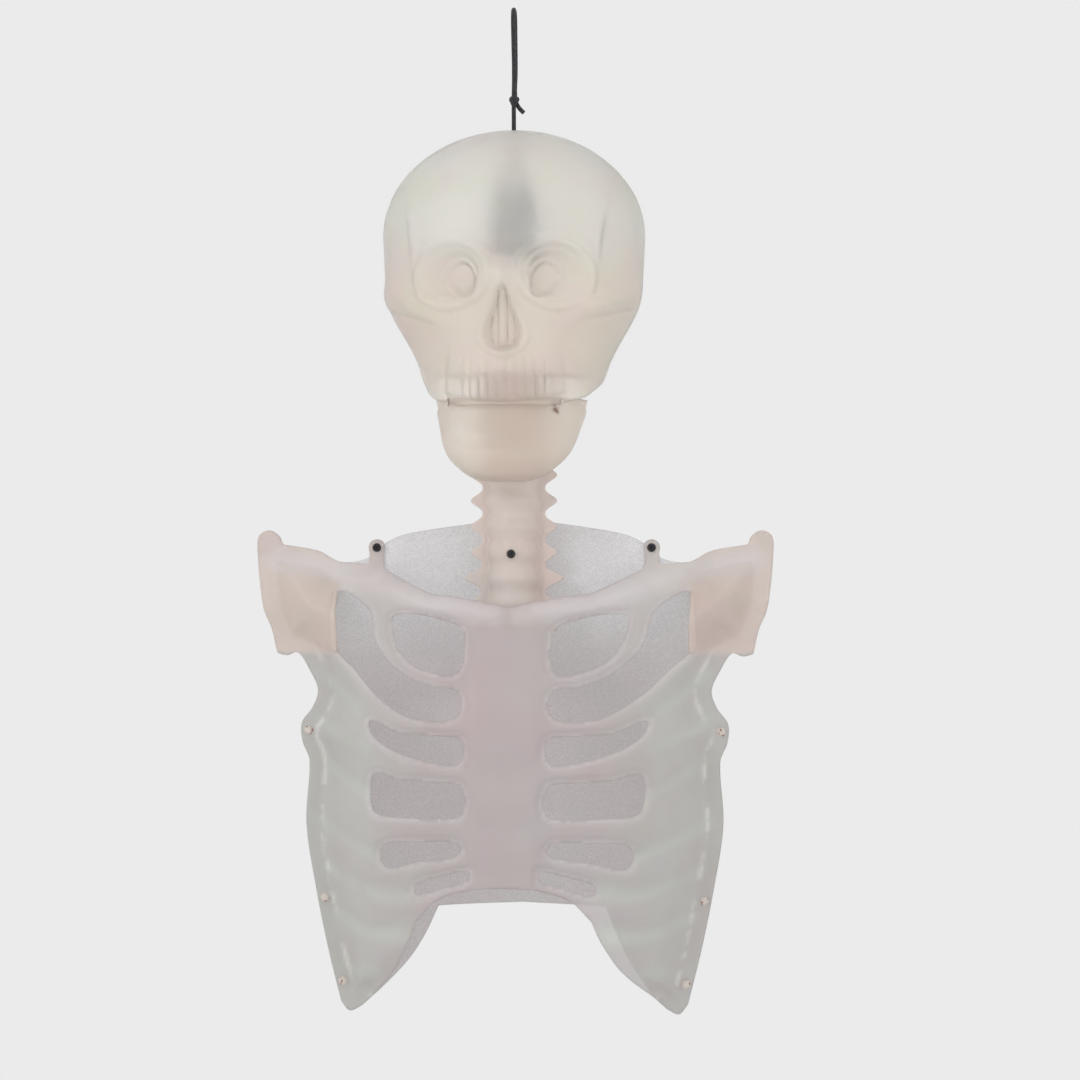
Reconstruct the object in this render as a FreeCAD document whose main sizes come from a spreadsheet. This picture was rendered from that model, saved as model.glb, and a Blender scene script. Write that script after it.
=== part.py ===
import FreeCAD
import Part
import Sketcher
import math
import os

# Hanging half-figure of a skeleton: skull, jaw, neck and rib cage, formed from thin
# translucent sheet, hung on a cord loop with a small light unit under the crown.
# +Z is up, the face looks along -Y and +X is at the viewer's right.
# The origin is the top of the cord's loop, where a hook holds it.

os.makedirs("parts", exist_ok=True)
doc = FreeCAD.newDocument("skeleton_figure")
Vec = FreeCAD.Vector

DIMENSIONS = {
    # sheet and seams
    "wall": 1.5,              # thickness of the formed sheet, along the draw
    "seam_gap": 0.4,          # between two flanges that are riveted together
    "flange_width": 8.0,      # flat rim round a formed half
    "running_gap": 0.4,       # between pieces that move past each other
    # skull
    "crown_drop": 80.0,       # from the loop's top down to the crown
    "skull_half_width": 82.0,
    "dome_rise": 66.0,        # from the widest level up to the crown
    "face_depth": 66.0,       # from the seam forward to the brow
    "occiput_depth": 74.0,    # from the seam back to the back of the head
    "floor_drop": 156.0,      # from the crown down to the skull's floor
    "teeth_drop": 176.0,      # from the crown down to the edge under the teeth
    "chin_drop": 221.0,       # from the crown down to the chin
    "jaw_rivet_drop": 173.0,  # from the crown down to the jaw's rivets
    "jaw_rivet_side": 33.0,   # from the middle out to each jaw rivet
    "jaw_rivet_front": 50.0,  # from the seam forward to the jaw rivets
    "jaw_front_gap": 1.6,     # behind the teeth, so that the jaw can swing
    # neck
    "neck_radius": 17.0,
    "vertebra_bulge": 2.0,
    "vertebra_pitch": 16.4,
    "lobe_reach": 27.5,       # from the axis out to the tip of a side lobe
    "collar_radius": 23.0,    # flange above the skull's floor
    "neck_below_notch": 16.0, # how far the neck reaches below the front notch
    # rib cage
    "shoulder_top_drop": 333.0,
    "cage_half_width": 165.0,
    "cage_drop": 307.0,       # from the shoulder's top down to the lower tips
    "chest_front_depth": 58.0,
    "chest_back_depth": 50.0,
    "collar_screw_side": 88.0,
    "lug_radius": 5.3,
    "seam_rivet_inset": 4.6,
    "arm_hole_radius": 2.0,
    # fasteners
    "screw_radius": 1.5,
    "screw_head_radius": 2.8,
    "screw_head_rise": 1.9,
    "screw_hole_gap": 0.15,
    "nut_across": 5.5,
    "nut_rise": 2.4,
    "rivet_radius": 1.4,
    "rivet_head_radius": 2.9,
    "rivet_head_rise": 1.1,
    # cord
    "cord_radius": 1.4,
    "cord_hole_gap": 0.2,
    "knot_radius": 3.6,
    "stop_knot_radius": 3.2,
    # light unit
    "unit_neck_radius": 6.5,
    "unit_neck_rise": 18.0,
    "unit_radius": 15.0,
    "unit_shoulder_rise": 25.0,
    "unit_body_rise": 26.0,
    "unit_wall": 1.6,
    "cap_rise": 8.0,
    "cell_radius": 5.8,
    "cell_rise": 5.4,
    "board_rise": 1.2,
    "lamp_radius": 2.5,
    "lamp_rise": 7.0,
    "switch_length": 5.0,
    "switch_width": 3.0,
    "switch_travel": 3.0,
    "switch_gap": 0.1,
}

sheet = doc.addObject("Spreadsheet::Sheet", "Sizes")
for row, (alias, value) in enumerate(DIMENSIONS.items(), start=1):
    sheet.set(f"A{row}", alias)
    sheet.set(f"B{row}", str(value))
    sheet.setAlias(f"B{row}", alias)
doc.recompute()


def size(alias):
    """A driving dimension, read from the sheet."""
    return float(sheet.get(alias))


wall = size("wall")
seam = size("seam_gap") / 2
flange = size("flange_width")
gap = size("running_gap")
crown = -size("crown_drop")
nodes = {}


def keep(obj, label):
    """Give a sub-part its own label, which names its file."""
    obj.Label = label
    nodes[label] = obj
    return obj


def feature(shape, label):
    """A sub-part whose shape comes from the geometry functions below."""
    obj = doc.addObject("Part::Feature", label)
    obj.Shape = shape
    return keep(obj, label)


def primitive(kind, name, base, axis="Z", **sizes):
    """A Part primitive bound to the sheet, standing at base along an axis."""
    obj = doc.addObject(kind, name)
    for prop, expression in sizes.items():
        obj.setExpression(prop, expression)
    turn = {
        "Z": FreeCAD.Rotation(),
        "Y": FreeCAD.Rotation(Vec(1, 0, 0), -90),
        "-Y": FreeCAD.Rotation(Vec(1, 0, 0), 90),
        "X": FreeCAD.Rotation(Vec(0, 1, 0), 90),
        "-X": FreeCAD.Rotation(Vec(0, 1, 0), -90),
        "-Z": FreeCAD.Rotation(Vec(1, 0, 0), 180),
    }[axis]
    obj.Placement = FreeCAD.Placement(Vec(*base), turn)
    return obj


def joined(name, pieces):
    """A fuse of several primitives."""
    obj = doc.addObject("Part::MultiFuse", name)
    obj.Shapes = pieces
    return obj


def grouped(label, pieces):
    """Identical loose solids that share one node."""
    obj = doc.addObject("Part::Compound", label)
    obj.Links = pieces
    return keep(obj, label)


def smooth(points, at):
    """Catmull-Rom curve through rows (position, values...), read at a position."""
    last = len(points) - 1
    i = max(0, min(last - 1, sum(1 for p in points if p[0] <= at) - 1))
    p0, p1, p2, p3 = (points[max(0, i - 1)], points[i], points[i + 1],
                      points[min(last, i + 2)])
    span = p2[0] - p1[0]
    u = max(0.0, min(1.0, (at - p1[0]) / span))
    out = []
    for a, b, c, d in zip(p0[1:], p1[1:], p2[1:], p3[1:]):
        start = (c - a) / (p2[0] - p0[0]) * span
        end = (d - b) / (p3[0] - p1[0]) * span
        out.append((2 * u**3 - 3 * u**2 + 1) * b + (u**3 - 2 * u**2 + u) * start
                   + (3 * u**2 - 2 * u**3) * c + (u**3 - u**2) * end)
    return out


def ring_wire(points):
    """A smooth closed wire through points, which are evenly spaced along its parameter."""
    curve = Part.BSplineCurve()
    even = [float(k) for k in range(len(points) + 1)]
    curve.interpolate(Points=points, PeriodicFlag=True, Parameters=even)
    return Part.Wire([curve.toShape()])


def open_edge(points, start=None, end=None):
    """A smooth edge through points, with end tangents where they are given."""
    curve = Part.BSplineCurve()
    if start and end:
        curve.interpolate(Points=points, InitialTangent=Vec(*start), FinalTangent=Vec(*end))
    else:
        curve.interpolate(Points=points)
    return curve.toShape()


def slab(x0, x1, y0, y1, z0, z1):
    """A box between two corners."""
    return Part.makeBox(x1 - x0, y1 - y0, z1 - z0, Vec(x0, y0, z0))


def rod(radius, start, end):
    """A cylinder between two points."""
    axis = Vec(*end) - Vec(*start)
    return Part.makeCylinder(radius, axis.Length, Vec(*start), axis)


WIDE = 400.0  # larger than the figure, for cutting tools

# ---------------------------------------------------------------- skull

SKULL_TALL = 177.0
# Below the widest level: drop below the crown, half width, front depth, back depth,
# as shares of the skull's own sizes.
SKULL_PROFILE = [
    (66.0, 1.000, 1.000, 1.000),
    (90.0, 0.985, 0.980, 1.000),
    (106.0, 0.970, 0.970, 0.960),
    (118.0, 0.915, 0.970, 0.890),
    (134.0, 0.805, 0.960, 0.770),
    (146.0, 0.732, 0.960, 0.660),
    (156.0, 0.689, 0.970, 0.580),
    (166.0, 0.634, 0.970, 0.510),
    (180.0, 0.580, 0.945, 0.450),
]
# Relief of the face: side, drop, rise, spread across, spread down, sharpness.
FACE_RELIEF = [
    (28.0, 68.0, 3.5, 18.0, 6.0, 1),
    (0.0, 72.0, 1.5, 9.0, 7.0, 1),
    (31.0, 91.0, -15.0, 16.0, 14.5, 2),
    (0.0, 83.0, -3.0, 7.0, 7.0, 1),
    (0.0, 97.0, 6.0, 7.0, 9.0, 1),
    (0.0, 122.0, -10.0, 9.5, 13.0, 2),
    (52.0, 112.0, 5.0, 13.0, 8.0, 1),
    (47.0, 136.0, -5.0, 11.0, 11.0, 1),
    (15.0, 164.0, 3.0, 20.0, 9.0, 1),
    (68.0, 84.0, -3.0, 9.0, 10.0, 1),
]
SECTION_POINTS = 60


def face_relief(side, drop):
    """How far the face stands out from the plain skull at a place."""
    total = 0.0
    for centre, level, rise, across, down, power in FACE_RELIEF:
        for mirrored in {centre, -centre}:
            away = ((side - mirrored) / across) ** 2 + ((drop - level) / down) ** 2
            total += rise * math.exp(-0.5 * away**power)
    return total


def oval(angle, half_width, depth, power=2.3):
    """Distance from the axis to an oval's edge; the angle runs from the front."""
    across = abs(math.sin(angle) / half_width) ** power
    along = abs(math.cos(angle) / depth) ** power
    return (across + along) ** (-1 / power)


def skull_ring(drop, height, inset, relief=True):
    """One level section of the skull, drawn in by inset."""
    rise = size("dome_rise")
    if drop < rise:
        bow = math.sqrt(max(0.0, 1 - ((rise - drop) / rise) ** 2))
        half, front, back = (size("skull_half_width") * bow, size("face_depth") * bow,
                             size("occiput_depth") * bow)
    else:
        wide, fore, aft = smooth(SKULL_PROFILE, drop * SKULL_TALL / (size("teeth_drop") + 1))
        half = size("skull_half_width") * wide
        front = size("face_depth") * fore
        back = size("occiput_depth") * aft
    points = []
    for k in range(SECTION_POINTS):
        angle = 2 * math.pi * k / SECTION_POINTS
        facing = math.cos(angle)
        depth = front if facing > 0 else back
        power = 2.0 + 0.3 * min(1.0, max(0.0, drop / rise - 0.4))
        reach = oval(angle, half, depth, power)
        if relief and facing > 0:
            reach += face_relief(reach * math.sin(angle), drop) * min(1.0, 1.6 * facing)
        reach -= inset
        points.append(Vec(reach * math.sin(angle), -reach * math.cos(angle), height))
    return ring_wire(points)


def skull_solid(inset, bottom):
    """The skull's outside, or its hollow when an inset is given."""
    rise = size("dome_rise")
    rings = []
    for degrees in (5, 16, 30, 44, 58, 74):
        drop = rise * (1 - math.cos(math.radians(degrees)))
        normal = math.cos(math.radians(degrees))
        rings.append(skull_ring(drop, crown - drop - inset * normal,
                                inset * math.sin(math.radians(degrees))))
    level = rise
    step = 8.0
    while level < bottom - step / 2:
        rings.append(skull_ring(level, crown - level, inset))
        level += step
    rings.append(skull_ring(bottom, crown - bottom, inset))
    return Part.makeLoft(rings, True)


teeth_drop = size("teeth_drop")
floor_drop = size("floor_drop")
floor_top = crown - floor_drop
skull_outer = skull_solid(0.0, teeth_drop)
skull_hollow = skull_solid(wall, teeth_drop + 2.0)
skull_skin = skull_outer.cut(skull_hollow)
skull_floor = skull_outer.common(slab(-WIDE, WIDE, -WIDE, WIDE, floor_top - wall, floor_top))
skull = skull_skin.fuse(skull_floor)

# The rim rises from the teeth, past the mouth's corners, to the back of the head.
rim_profile = [
    (-30.0, crown - teeth_drop + 7.0),
    (-12.0, floor_top - wall - 5.0), (6.0, floor_top - wall - 0.01),
    (WIDE / 2, floor_top - wall - 0.01), (WIDE / 2, -WIDE),
    (-30.0, -WIDE),
]
rim_points = [Vec(-WIDE / 2, y, z) for y, z in rim_profile]
rim_cut = Part.Face(Part.makePolygon(rim_points + rim_points[:1])).extrude(Vec(WIDE, 0, 0))
skull = skull.cut(rim_cut)

neck_radius = size("neck_radius")
skull = skull.cut(rod(neck_radius + gap, (0, 0, floor_top - 10), (0, 0, floor_top + 5)))
# opening in the floor behind the teeth, through which the light unit is reached
reach_hole = slab(-26, 26, -53, -neck_radius - 9, floor_top - 10, floor_top + 5)
skull = skull.cut(reach_hole.makeFillet(8.0, [e for e in reach_hole.Edges
                                               if abs(e.tangentAt(0).z) > 0.9]))
cord_hole = size("cord_radius") + size("cord_hole_gap")
skull = skull.cut(rod(cord_hole, (0, 0, crown - 8), (0, 0, crown + 5)))

# jaw rivets: the face has a flat pad round each one
rivet_z = crown - size("jaw_rivet_drop")
rivet_y = -size("jaw_rivet_front")
rivet_x = size("jaw_rivet_side")
rivet_radius = size("rivet_radius")
rivet_hole = rivet_radius + 0.1
pad_radius = size("rivet_head_radius") + 1.2
pad_inner = rivet_x - 2.0
pad_outer = rivet_x + 2.6
JAW_PAD = 2.0
for side in (-1, 1):
    skull = skull.cut(rod(pad_radius + 1.0, (side * (pad_inner - 9), rivet_y, rivet_z),
                          (side * pad_inner, rivet_y, rivet_z)))
    pad = rod(pad_radius, (side * pad_inner, rivet_y, rivet_z),
              (side * pad_outer, rivet_y, rivet_z))
    skull = skull.cut(rod(pad_radius + 0.8, (side * pad_outer, rivet_y, rivet_z),
                          (side * (pad_outer + 20), rivet_y, rivet_z))).fuse(pad)
    skull = skull.cut(rod(rivet_hole, (side * (pad_inner - 9), rivet_y, rivet_z),
                          (side * (pad_outer + 20), rivet_y, rivet_z)))


def largest(shape):
    """The main solid of a cut shape, without crumbs."""
    return max(shape.Solids, key=lambda solid: solid.Volume)


feature(largest(skull.common(slab(-WIDE, WIDE, -WIDE, -seam / 2, -WIDE, 0))), "skull_face_shell")
feature(largest(skull.common(slab(-WIDE, WIDE, seam / 2, WIDE, -WIDE, 0))), "skull_back_shell")

# ---------------------------------------------------------------- jaw

# drop below the crown, half width, front depth, distance of the section's middle in front
JAW_PROFILE = [
    (166.0, 47.0, 59.8, 0.0),
    (178.0, 46.6, 59.6, 2.0),
    (189.0, 44.0, 60.0, 10.0),
    (198.0, 41.5, 61.5, 18.0),
    (206.0, 37.5, 62.5, 25.0),
    (213.0, 31.0, 61.5, 30.0),
    (218.0, 24.5, 58.5, 33.0),
    (221.0, 16.5, 53.0, 35.0),
]
CHIN_LEVEL = 221.0


def jaw_ring(row, inset, lower=0.0):
    """One level section of the jaw, inside the skull's rim where they overlap."""
    drop, half, front, middle = row
    if drop < teeth_drop:
        wide, fore, aft = smooth(SKULL_PROFILE, drop)
        half = size("skull_half_width") * wide - wall - gap - 1.2
        front = size("face_depth") * fore - wall - size("jaw_front_gap") + 0.6
    points = []
    for k in range(SECTION_POINTS):
        angle = 2 * math.pi * k / SECTION_POINTS
        ahead = math.cos(angle) > 0
        depth = (front - middle if ahead else 26.0) - inset
        reach = oval(angle, half - inset, depth)
        points.append(Vec(reach * math.sin(angle), -middle - reach * math.cos(angle),
                          crown - (drop + lower) * size("chin_drop") / CHIN_LEVEL))
    return ring_wire(points)


jaw_outer = Part.makeLoft([jaw_ring(row, 0.0) for row in JAW_PROFILE], True)
above = [(JAW_PROFILE[0][0] - 3.0,) + JAW_PROFILE[0][1:]]
jaw_rows = above + JAW_PROFILE[:-1]
jaw_hollow = Part.makeLoft([jaw_ring(row, wall) for row in jaw_rows]
                           + [jaw_ring(JAW_PROFILE[-1], wall, -wall)], True)
jaw = jaw_outer.cut(jaw_hollow)
chin_z = crown - size("chin_drop")
back_edge = [(-45.0, chin_z - 10), (-45.0, chin_z + 4), (-24.0, crown - 192), (-12.0, crown - 178),
             (-12.0, 0.0), (WIDE, 0.0), (WIDE, chin_z - 10)]
back_points = [Vec(-WIDE / 2, y, z) for y, z in back_edge]
jaw = jaw.cut(Part.Face(Part.makePolygon(back_points + back_points[:1])).extrude(Vec(WIDE, 0, 0)))
jaw_top = crown - teeth_drop + 5.5
jaw = largest(jaw.common(slab(-WIDE, WIDE, -WIDE, WIDE, -WIDE, jaw_top)))
for side in (-1, 1):
    ear_outer = pad_inner - gap
    ear_inner = ear_outer - JAW_PAD
    jaw = jaw.cut(rod(pad_radius + 0.4, (side * (ear_inner - 12), rivet_y, rivet_z),
                      (side * ear_inner, rivet_y, rivet_z)))
    jaw = jaw.cut(rod(pad_radius + 1.0, (side * ear_outer, rivet_y, rivet_z),
                      (side * (ear_outer + 20), rivet_y, rivet_z)))
    jaw = jaw.fuse(rod(pad_radius, (side * ear_inner, rivet_y, rivet_z),
                       (side * ear_outer, rivet_y, rivet_z)))
    jaw = jaw.cut(rod(rivet_radius + 0.08, (side * (ear_outer - 20), rivet_y, rivet_z),
                      (side * (ear_outer + 20), rivet_y, rivet_z)))
feature(largest(jaw), "jaw_shell")


OPPOSITE = {"X": "-X", "-X": "X", "Y": "-Y"}


def rivet(name, start, end, axis):
    """A rivet: a shank between two domed heads, from start to end along an axis."""
    span = math.dist(start, end)
    shank = primitive("Part::Cylinder", name + "_shank", start, axis,
                      Radius="Sizes.rivet_radius")
    shank.setExpression("Height", f"{span:.3f} mm")
    heads = []
    for label, at, way in (("first", start, OPPOSITE[axis]), ("second", end, axis)):
        head = primitive("Part::Cone", f"{name}_{label}", at, way,
                         Radius1="Sizes.rivet_head_radius",
                         Radius2="Sizes.rivet_head_radius * 0.55",
                         Height="Sizes.rivet_head_rise")
        heads.append(head)
    return joined(name, [shank] + heads)


jaw_rivets = []
rivet_inner = ear_inner - 0.3
for side, axis, word in ((-1, "-X", "left"), (1, "X", "right")):
    jaw_rivets.append(rivet("jaw_rivet_" + word, (side * rivet_inner, rivet_y, rivet_z),
                            (side * (pad_outer + 0.02), rivet_y, rivet_z), axis))
grouped("jaw_rivets", jaw_rivets)

# ---------------------------------------------------------------- rib cage

cage_half = size("cage_half_width")
cage_top = -size("shoulder_top_drop")
cage_drop = size("cage_drop")
DRAWN_HALF, DRAWN_TOP, DRAWN_DROP = 165.0, -333.0, 307.0


def cage(x, z):
    """A place on the rib cage, drawn at its nominal size and fitted to the real one."""
    return (x * cage_half / DRAWN_HALF, cage_top + (z - DRAWN_TOP) * cage_drop / DRAWN_DROP)


def flat(points):
    """Points of the cage's outline, in the plane of the seam."""
    return [Vec(x, 0, z) for x, z in (cage(*p) for p in points)]


SHOULDER = [(80, -359), (95, -354.5), (112, -353), (126, -346), (149, -342)]
NUB = [(149, -342), (151.5, -336.5), (158, -333), (164.5, -337), (165, -350), (163.5, -368),
       (161, -384), (156, -396), (152.5, -411.5)]
SIDE = [(152.5, -411.5), (146, -413), (139, -411), (131, -423), (126, -435), (129.5, -446),
        (136.5, -456), (136, -468), (131.5, -480), (133.5, -520), (127, -563), (119, -602),
        (111, -634)]
TIP = [(111, -634), (105.5, -640), (98, -637)]
BELLY = [(98, -637), (85, -625), (71, -609), (62, -593), (55, -577)]
FRONT_ARCH = [(55, -577), (40, -562.5), (22, -557.5), (0, -556.5)]
BACK_ARCH = [(55, -577), (38, -576), (0, -574)]
FRONT_NOTCH = [(0, -381.5), (33, -375), (50, -373), (66, -366), (80, -359)]
BACK_TOP = [(0, -325), (45, -331), (72, -336), (84, -342), (95, -351), (112, -353), (126, -346),
            (149, -342)]
lug_x, lug_z = size("collar_screw_side"), cage(88, -344)[1]
RIVET_LEVELS = [-461, -568, -621]


def outline_prism(top_edges, arch, reach):
    """The cage's outline as a prism; reach is how far it goes along Y."""
    edges = top_edges + [
        open_edge(flat(NUB)), open_edge(flat(SIDE)), open_edge(flat(TIP)),
        open_edge(flat(BELLY)),
        open_edge(flat(arch), (-1, 0, 0.5), (-1, 0, 0)),
    ]
    mirror = [edge.mirror(Vec(0, 0, 0), Vec(1, 0, 0)) for edge in edges]
    face = Part.Face(Part.Wire(Part.__sortEdges__(edges + mirror)))
    behind = -math.copysign(5.0, reach)
    face.translate(Vec(0, behind, 0))
    prism = face.extrude(Vec(0, reach - behind, 0))
    half_post = size("lug_radius") * 0.9
    for side in (-1, 1):
        lug = rod(size("lug_radius"), (side * lug_x, behind, lug_z), (side * lug_x, reach, lug_z))
        post = slab(side * lug_x - half_post, side * lug_x + half_post,
                    min(behind, reach), max(behind, reach), cage(0, -362)[1], lug_z)
        prism = prism.fuse([lug, post])
    return prism.removeSplitter()


seamed = [Vec(lug_x, 0, lug_z)]
for stretch in ([(96, -353.5)] + SHOULDER[2:], NUB, SIDE, TIP):
    seamed += open_edge(flat(stretch)).discretize(28)


def seam_distance(x, z):
    """How far a place is from the riveted rim."""
    return min(math.hypot(abs(x) - p.x, z - p.z) for p in seamed)


ROOT_CURVE = 5.0  # half the width of the curve between the rim and the swelling wall
full_reach = size("collar_screw_side") - flange - ROOT_CURVE


def swell(x, z):
    """From 0 on the rim to 1 where the cage has its full depth."""
    inside = seam_distance(x, z) - flange - ROOT_CURVE
    if inside < ROOT_CURVE:
        inside = max(0.0, inside + ROOT_CURVE) ** 2 / (4 * ROOT_CURVE)
    return 1 - (1 - min(1.0, inside / full_reach)) ** 2.2


def blend(low, high, share):
    """From low to high as the share goes from 0 to 1, level at both ends."""
    share = max(0.0, min(1.0, share))
    return low + (high - low) * share * share * (3 - 2 * share)


notch_z = cage(0, -381.5)[1]
back_top_z = cage(0, -325)[1]
neck_screw_z = cage(0, -348)[1]
NECK_CLEAR = 0.3


def front_depth(x, z):
    """Depth of the chest in front of the rim."""
    full = blend(neck_radius + 11, size("chest_front_depth"), (notch_z + 12 - z) / 90)
    return full * swell(x, z)


def back_depth(x, z):
    """Depth of the back behind the rim; the neck rests on it near the top."""
    seat = neck_radius + NECK_CLEAR - seam
    full = blend(seat, size("chest_back_depth"), (neck_screw_z - 14 - z) / 100)
    return full * swell(x, z)


def formed_sheet(depth, away, shift=0.0, thick=None):
    """A formed sheet over the whole cage: a smooth skin through depths, thickened along Y."""
    thick = wall if thick is None else thick
    across = [cage_half * 1.06 * (k / 41.0 - 1) for k in range(83)]
    levels = [back_top_z + 14 - (back_top_z + 24 - cage(0, -640)[1]) * k / 79.0 for k in range(80)]
    grid = [[Vec(x, away * (seam + shift + depth(x, z)), z) for z in levels] for x in across]
    skin = Part.BSplineSurface()
    skin.interpolate(grid)
    return skin.toShape().extrude(Vec(0, away * thick, 0))


# Openings between the ribs at the right; the left side mirrors them.
RIB_OPENINGS = [
    [(28, -397), (45, -389), (74, -386.5), (74, -397), (66, -413), (50, -421.5), (32, -423.5),
     (27, -412)],
    [(112, -372), (101, -376), (90, -386), (85.5, -403), (76, -416), (62, -425.5), (46, -431),
     (31, -433.5), (27, -442), (31, -450.5), (45, -452.5), (63, -449.5), (84, -437),
     (102, -420), (113, -409), (113.5, -390)],
    [(27, -464), (45, -461.5), (66, -460.5), (88, -452.5), (86, -461), (71, -471), (48, -478),
     (30, -479.5), (25.5, -472)],
    [(27.5, -493), (45, -490.5), (66, -489.5), (84, -486), (87, -498), (83, -510.5), (62, -513),
     (42, -513.5), (28, -512), (24.5, -502)],
    [(30, -528.5), (52, -528), (75, -529.5), (80, -537), (75, -545), (54, -540.5), (32, -537.5),
     (26.5, -533)],
    [(22, -546), (38, -549), (55, -554), (57, -560), (52, -561), (36, -556), (22, -551.5)],
]


def opening_prisms(reach):
    """The twelve rib openings, as cutting tools."""
    tools = []
    for points in RIB_OPENINGS:
        tool = Part.Face(ring_wire(flat(points))).extrude(Vec(0, reach, 0))
        tools += [tool, tool.mirror(Vec(0, 0, 0), Vec(1, 0, 0))]
    return tools


def rim_x(level):
    """Where the side's edge lies at a drawn level, on the real cage."""
    z = cage(0, level)[1]
    crossing = [(a, b) for a, b in zip(seamed, seamed[1:])
                if (a.z - z) * (b.z - z) <= 0 and a.z != b.z and a.x > cage_half * 0.5]
    a, b = crossing[-1]
    return a.x + (b.x - a.x) * (z - a.z) / (b.z - a.z)


rivet_places = [(side * (rim_x(level) - size("seam_rivet_inset")), cage(0, level)[1])
                for level in RIVET_LEVELS for side in (-1, 1)]
arm_hole = cage(158.0, -341.5)
screw_hole = size("screw_radius") + size("screw_hole_gap")


def drilled(shape, neck_screw=False):
    """The holes that both halves of the cage share."""
    holes = [rod(rivet_radius + 0.05, (x, -30, z), (x, 30, z)) for x, z in rivet_places]
    for side in (-1, 1):
        holes.append(rod(screw_hole, (side * lug_x, -30, lug_z), (side * lug_x, 30, lug_z)))
        holes.append(rod(size("arm_hole_radius"), (side * arm_hole[0], -30, arm_hole[1]),
                         (side * arm_hole[0], 30, arm_hole[1])))
    if neck_screw:
        holes.append(rod(screw_hole, (0, 0, neck_screw_z), (0, WIDE / 4, neck_screw_z)))
    return shape.cut(holes)


shoulder_edge = open_edge(flat(SHOULDER))
notch_edge = open_edge(flat(FRONT_NOTCH), (1, 0, 0), (1, 0, 0.6))
front_prism = outline_prism([notch_edge, shoulder_edge], FRONT_ARCH, -WIDE / 4)
front = formed_sheet(front_depth, -1).common(front_prism)
front = drilled(front.cut(opening_prisms(-WIDE / 4)))
feature(largest(front), "rib_cage_front")

back_edge_top = open_edge(flat(BACK_TOP), (1, 0, 0), (1, 0, 0.3))
back_prism = outline_prism([back_edge_top], BACK_ARCH, WIDE / 4)
back = drilled(formed_sheet(back_depth, 1).common(back_prism), True)
feature(largest(back), "rib_cage_back")

# A formed patch doubles the front shell at each shoulder.
INSERT = [(113, -366), (124, -358), (140, -354), (152, -353), (153, -366), (150, -383),
          (144, -397), (140, -401), (128, -408), (113, -411)]
insert_points = flat(INSERT)
insert_face = Part.Face(Part.makePolygon(insert_points + insert_points[:1]))
insert_prism = insert_face.extrude(Vec(0, -WIDE / 4, 0))
insert_sheet = formed_sheet(front_depth, -1, -wall - 0.05, wall)
insert = largest(insert_sheet.common(insert_prism))
feature(insert, "shoulder_insert_right")
feature(insert.mirror(Vec(0, 0, 0), Vec(1, 0, 0)), "shoulder_insert_left")

# ---------------------------------------------------------------- neck

neck_bottom = notch_z - size("neck_below_notch")
groove_low = floor_top - wall - gap
collar_low = floor_top + gap
collar_top = collar_low + wall + 2.5
pitch = size("vertebra_pitch")
first_lobe = neck_screw_z + 1.0


def neck_profile(inset):
    """The neck's radius down its length: collar, groove, then a bulge for each vertebra."""
    radius = neck_radius
    rows = []
    level = groove_low - 3.0
    while level > neck_bottom + 1:
        wave = math.cos(2 * math.pi * (level - first_lobe) / pitch)
        rows.append(Vec(radius + size("vertebra_bulge") * 0.5 * (wave - 1) - inset, 0, level))
        level -= pitch / 6
    rows.append(Vec(radius - size("vertebra_bulge") * 0.5 - inset, 0, neck_bottom))
    return rows


def turned(rows, top_rows):
    """A solid of revolution about Z below a profile of straight runs and a smooth wave."""
    wave = open_edge(rows)
    start, end = rows[0], rows[-1]
    path = [Vec(0, 0, top_rows[0].z)] + top_rows + [start]
    edges = [Part.LineSegment(a, b).toShape() for a, b in zip(path, path[1:])]
    close = [Vec(0, 0, end.z), Vec(0, 0, top_rows[0].z)]
    tail = [end] + close
    edges += [wave] + [Part.LineSegment(a, b).toShape() for a, b in zip(tail, tail[1:])]
    return Part.Face(Part.Wire(edges)).revolve(Vec(0, 0, 0), Vec(0, 0, 1), 360)


outer_rows = neck_profile(0.0)
collar = size("collar_radius")
shoulder_radius = neck_radius + 3.5
neck_outer = turned(outer_rows, [
    Vec(collar - 1.5, 0, collar_top), Vec(collar, 0, collar_top - 1.5), Vec(collar, 0, collar_low),
    Vec(neck_radius, 0, collar_low), Vec(neck_radius, 0, groove_low),
    Vec(shoulder_radius, 0, groove_low), Vec(shoulder_radius, 0, groove_low - 1.5),
])
inner_rows = neck_profile(wall)
inner_rows[-1] = Vec(inner_rows[-1].x, 0, neck_bottom - 2)
neck_hollow = turned(inner_rows, [Vec(neck_radius - wall, 0, collar_top + 2)])
neck_tube = neck_outer.cut(neck_hollow)


def lobe_outline():
    """The flat rim of the neck, with a rounded lobe at each vertebra."""
    reach = size("lobe_reach")
    root = neck_radius + 3.0
    right = []
    top = groove_low - 4.0
    level = top
    while level >= neck_bottom:
        wave = 0.5 + 0.5 * math.cos(2 * math.pi * (level - first_lobe) / pitch)
        right.append(Vec(root + (reach - root) * wave**1.6, 0, level))
        level -= pitch / 8
    edge = open_edge(right)
    start, end = right[0], right[-1]
    sides = [Part.LineSegment(Vec(0, 0, start.z), start).toShape(), edge,
             Part.LineSegment(end, Vec(0, 0, end.z)).toShape(),
             Part.LineSegment(Vec(0, 0, end.z), Vec(0, 0, start.z)).toShape()]
    return Part.Face(Part.Wire(sides))


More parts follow.
